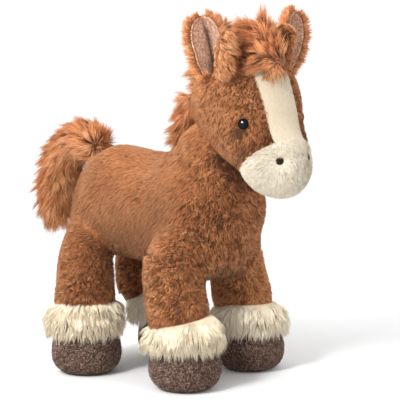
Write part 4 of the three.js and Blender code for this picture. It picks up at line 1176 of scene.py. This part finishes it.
def longPile(name, form, skin, roots, direction, bend, shade, replaced, body, sizes=1.0):
    # the hairs of one lock lean to its middle and share a tilt
    tilt, middle = tuftCells(roots["point"], form["clump"], form["seed"] + 2)
    chance = roots["chance"]
    direction = unit(direction + 0.2 * tilt + 0.2 * (chance[:, 3:6] - 0.5))
    bend = bend + (middle - roots["point"]) * 0.03 + 0.12 * tilt
    length = form["strandLength"] * sizes * (0.65 + 0.55 * chance[:, 0])
    shade = shade + 0.12 * tilt[:, 0] * 0.6 + 0.3 * (chance[:, 2] - 0.5)
    strands = hairs(roots["point"] - roots["normal"], direction, bend, length,
                    form["strandWidth"] * (0.7 + 0.6 * chance[:, 1]), shade)
    addPiece(name, [skin, strands], longChestnutPile, replaced, body)


def spined(form, points):
    # a form along a spine is as long as the spine
    spine = spineThrough(points)
    return {**form, "spine": spine, "length": spine["walked"][-1]}


tailRoot = np.array([70.0, 175.0])  # y, z
tailReach, tailDrop = 54, 62  # its tip behind and under its root
tail = spined({
    "startRound": 8, "endRound": 14,
    "stations": [[0, 10.5, 10.5, 10.5], [0.25, 14.2, 14.2, 17], [0.7, 15, 15, 20], [1, 11, 11, 14]],
    "inset": 4.5, "rings": 40, "sides": 28, "skinTone": 0.2, "seed": 191, "clump": 3.6,
    "perSquare": 2.0, "strandLength": 12.5, "strandWidth": 0.62,
}, [[tailRoot[0] + tailReach * back, tailRoot[1] - tailDrop * fall] for back, fall in
    ((-0.04, 0.13), (0.13, -0.16), (0.48, -0.21), (0.78, 0.08), (0.91, 0.52), (1, 1))])
skin, roots = pileSkin(tail, trunk, 1)
tangent = unit(formPoints(tail, roots["along"] + 1, roots["turn"], tail["inset"])
               - formPoints(tail, roots["along"] - 1, roots["turn"], tail["inset"]))
inner = eased(0.1, -0.8, np.sin(roots["turn"]))
nearRoot = eased(26, 6, roots["along"])
upward = eased(0.2, 1, roots["normal"][:, 2])
direction = unit(roots["normal"] * (0.75 - 0.3 * inner - 0.4 * nearRoot - 0.3 * upward)[:, None]
                 + tangent * (0.6 - 0.8 * nearRoot)[:, None])
# painted shade on the inner side of the tail's curve
shade = 0.76 + 0.12 * ripple(roots["point"], 12, 85) - 0.3 * inner
longPile("tail_pile", tail, skin, roots, direction, np.array([0, 0.0, -0.15]) + 0.22 * tangent, shade,
         ["tail_cover", "tail_filling"], "tail", 1 - 0.35 * upward)

# the neck mane's top lies behind the head's turning line, and its foot behind and under its top
maneStart, maneReach, maneDrop = 28, 22, 50
neckMane = spined({
    "startRound": 6, "endRound": 9,
    "stations": [[0, 11, 7, 15], [0.4, 12, 8, 15], [0.8, 11, 9, 10], [1, 8, 6, 6]],
    "inset": 4, "rings": 24, "sides": 20, "skinTone": 0.25, "seed": 201, "clump": 5,
    "perSquare": 2.0, "strandLength": 11, "strandWidth": 0.65,
}, [[neckTurnY + maneStart + maneReach * back, neckTop - maneDrop * fall] for back, fall in
    ((0, 0.04), (0.12, 0.4), (0.5, 0.74), (0.95, 1))])
skin, roots = pileSkin(neckMane, neck, 1.5)
direction = unit(0.7 * roots["normal"] + 0.75 * unit(np.array([0, 0.5, -0.9])))
shade = 0.6 + 0.12 * ripple(roots["point"], 10, 87)
longPile("mane_neck_pile", neckMane, skin, roots, direction, np.array([0, 0.05, -0.3]), shade,
         ["mane_neck"], "neck")

pollMane = {
    "length": 64, "startRound": 10, "endRound": 8,
    "stations": [[0, 12, 10, 10], [0.5, 13, 10, 12], [1, 10, 8, 8]],
    "place": chained(headPlace, moved(0, skull[1] + 24, skull[2] + 62), turned("x", 194)),
    "inset": 2, "rings": 24, "sides": 20, "skinTone": 0.25, "seed": 211, "clump": 4,
    "perSquare": 1.9, "strandLength": 14, "strandWidth": 0.65,
}
skin, roots = pileSkin(pollMane, head, 1.5)
backward = headPlace[:3, :3] @ unit(np.array([0, 0.8, -0.35]))
direction = unit(0.75 * roots["normal"] + 0.6 * backward)
shade = 0.68 + 0.12 * ripple(roots["point"], 10, 89) + paintedHollowShadow(roots["point"])
longPile("mane_poll_pile", pollMane, skin, roots, direction, np.array([0, 0.05, -0.2]), shade,
         ["mane_poll"], "head")

forelock = {
    "length": 58, "startRound": 18, "endRound": 20,
    "stations": [[0, 18, 27, 12], [0.35, 23, 31, 14], [0.8, 23, 18, 14], [1, 18, 12, 10]],
    "place": chained(headPlace, moved(0, skull[1] + 6, skull[2] + 44), turned("x", 112)),
    "inset": 8, "rings": 30, "sides": 30, "skinTone": 0.2, "seed": 221, "clump": 4.5,
    "perSquare": 2.3, "strandLength": 16, "strandWidth": 0.65,
}
skin, roots = pileSkin(forelock, head, 1.5)
# strands run away from the crown, and are short in the hollows beside the ears
crown = placed(np.array([[11, skull[1] - 38, skull[2] + 30.0]]), headPlace)
away = roots["point"] - crown
away = unit(away - (away * roots["normal"]).sum(1, keepdims=True) * roots["normal"])
aside = headPlace[:3, :3] @ np.array([-0.45, 0.2, 0.05])
direction = unit(0.55 * roots["normal"] + 0.8 * away + aside)
hollow = paintedHollowShadow(roots["point"])
shade = 0.58 + 0.14 * ripple(roots["point"], 12, 93) + hollow
longPile("forelock_pile", forelock, skin, roots, direction, np.array([0, 0, -0.12]), shade, ["forelock"],
         "head", 1 + 0.7 * hollow)
print("long pile made")

# Studio

studio = {"floorHalf": 30, "world": 1.1, "lens": 115.2, "cameraPlace": (-0.8266, -0.6210, 0.2367),
          "cameraDown": 5.35, "cameraTurn": -54.4, "lampsAim": (0, 0, 0.14)}
lamps = {  # place, power, size; only the eyes receive the catch light
    "keyLight": ((-1.25, 0.25, 1.35), 9, 0.9), "glintLight": ((-1.3, -0.05, 1.0), 19, 0.36),
    "catchLight": ((-1.07, -0.21, 0.61), 80, 0.45)}

half = studio["floorHalf"]
corners = [(-half, -half, 0), (half, -half, 0), (half, half, 0), (-half, half, 0)]
floorMesh = bpy.data.meshes.new("studioFloor")
floorMesh.from_pydata(corners, [], [(0, 1, 2, 3)])
floor = bpy.data.objects.new("studioFloor", floorMesh)
bpy.context.scene.collection.objects.link(floor)
floorPaint, tree, shader = newMaterial("studioWhite", Roughness=0.95)
floorPlace = tree.nodes.new("ShaderNodeTexCoord")
away = tree.nodes.new("ShaderNodeVectorMath")
away.operation = "LENGTH"
tree.links.new(floorPlace.outputs["Object"], away.inputs[0])
inTens = tree.nodes.new("ShaderNodeMath")
inTens.operation = "MULTIPLY"
inTens.inputs[1].default_value = 0.1
tree.links.new(away.outputs["Value"], inTens.inputs[0])
# the paint evens out the lamps' fall off, so that the open floor is just white; places in tens of metres
floorTones = [(0, 0.8), (0.05, 0.86), (0.1, 0.9), (0.2, 0.94), (0.4, 0.95), (1, 0.96)]
tree.links.new(colourRamp(tree, inTens.outputs["Value"], floorTones), shader.inputs["Base Color"])
floorMesh.materials.append(floorPaint)

camera = bpy.data.objects.new("camera", bpy.data.cameras.new("camera"))
bpy.context.scene.collection.objects.link(camera)
camera.data.sensor_width = 36
camera.data.lens = studio["lens"]
camera.location = studio["cameraPlace"]
camera.rotation_euler = (np.radians(90 - studio["cameraDown"]), 0, np.radians(studio["cameraTurn"]))
bpy.context.scene.camera = camera

world = bpy.data.worlds.new("studioWorld")
world.use_nodes = True
world.node_tree.nodes["Background"].inputs["Color"].default_value = paint(1.0)
world.node_tree.nodes["Background"].inputs["Strength"].default_value = studio["world"]
bpy.context.scene.world = world

for name, (place, power, size) in lamps.items():
    # round lamps turned to the middle of the toy
    light = bpy.data.lights.new(name, "AREA")
    light.shape = "DISK"
    light.size = size
    light.energy = power
    lamp = bpy.data.objects.new(name, light)
    bpy.context.scene.collection.objects.link(lamp)
    lamp.location = place
    aim = np.array(studio["lampsAim"]) - np.array(place)
    yaw, pitch = np.arctan2(-aim[0], aim[1]), np.arctan2(aim[2], np.hypot(aim[0], aim[1]))
    lamp.rotation_euler = (np.pi / 2 + pitch, 0, yaw)
eyesOnly = bpy.data.collections.new("eyesOnly")
for name in ("eye_left_dome", "eye_right_dome"):
    eyesOnly.objects.link(bpy.data.objects[name])
bpy.data.objects["catchLight"].light_linking.receiver_collection = eyesOnly
bpy.context.scene.view_settings.view_transform = "Standard"
print("studio set")
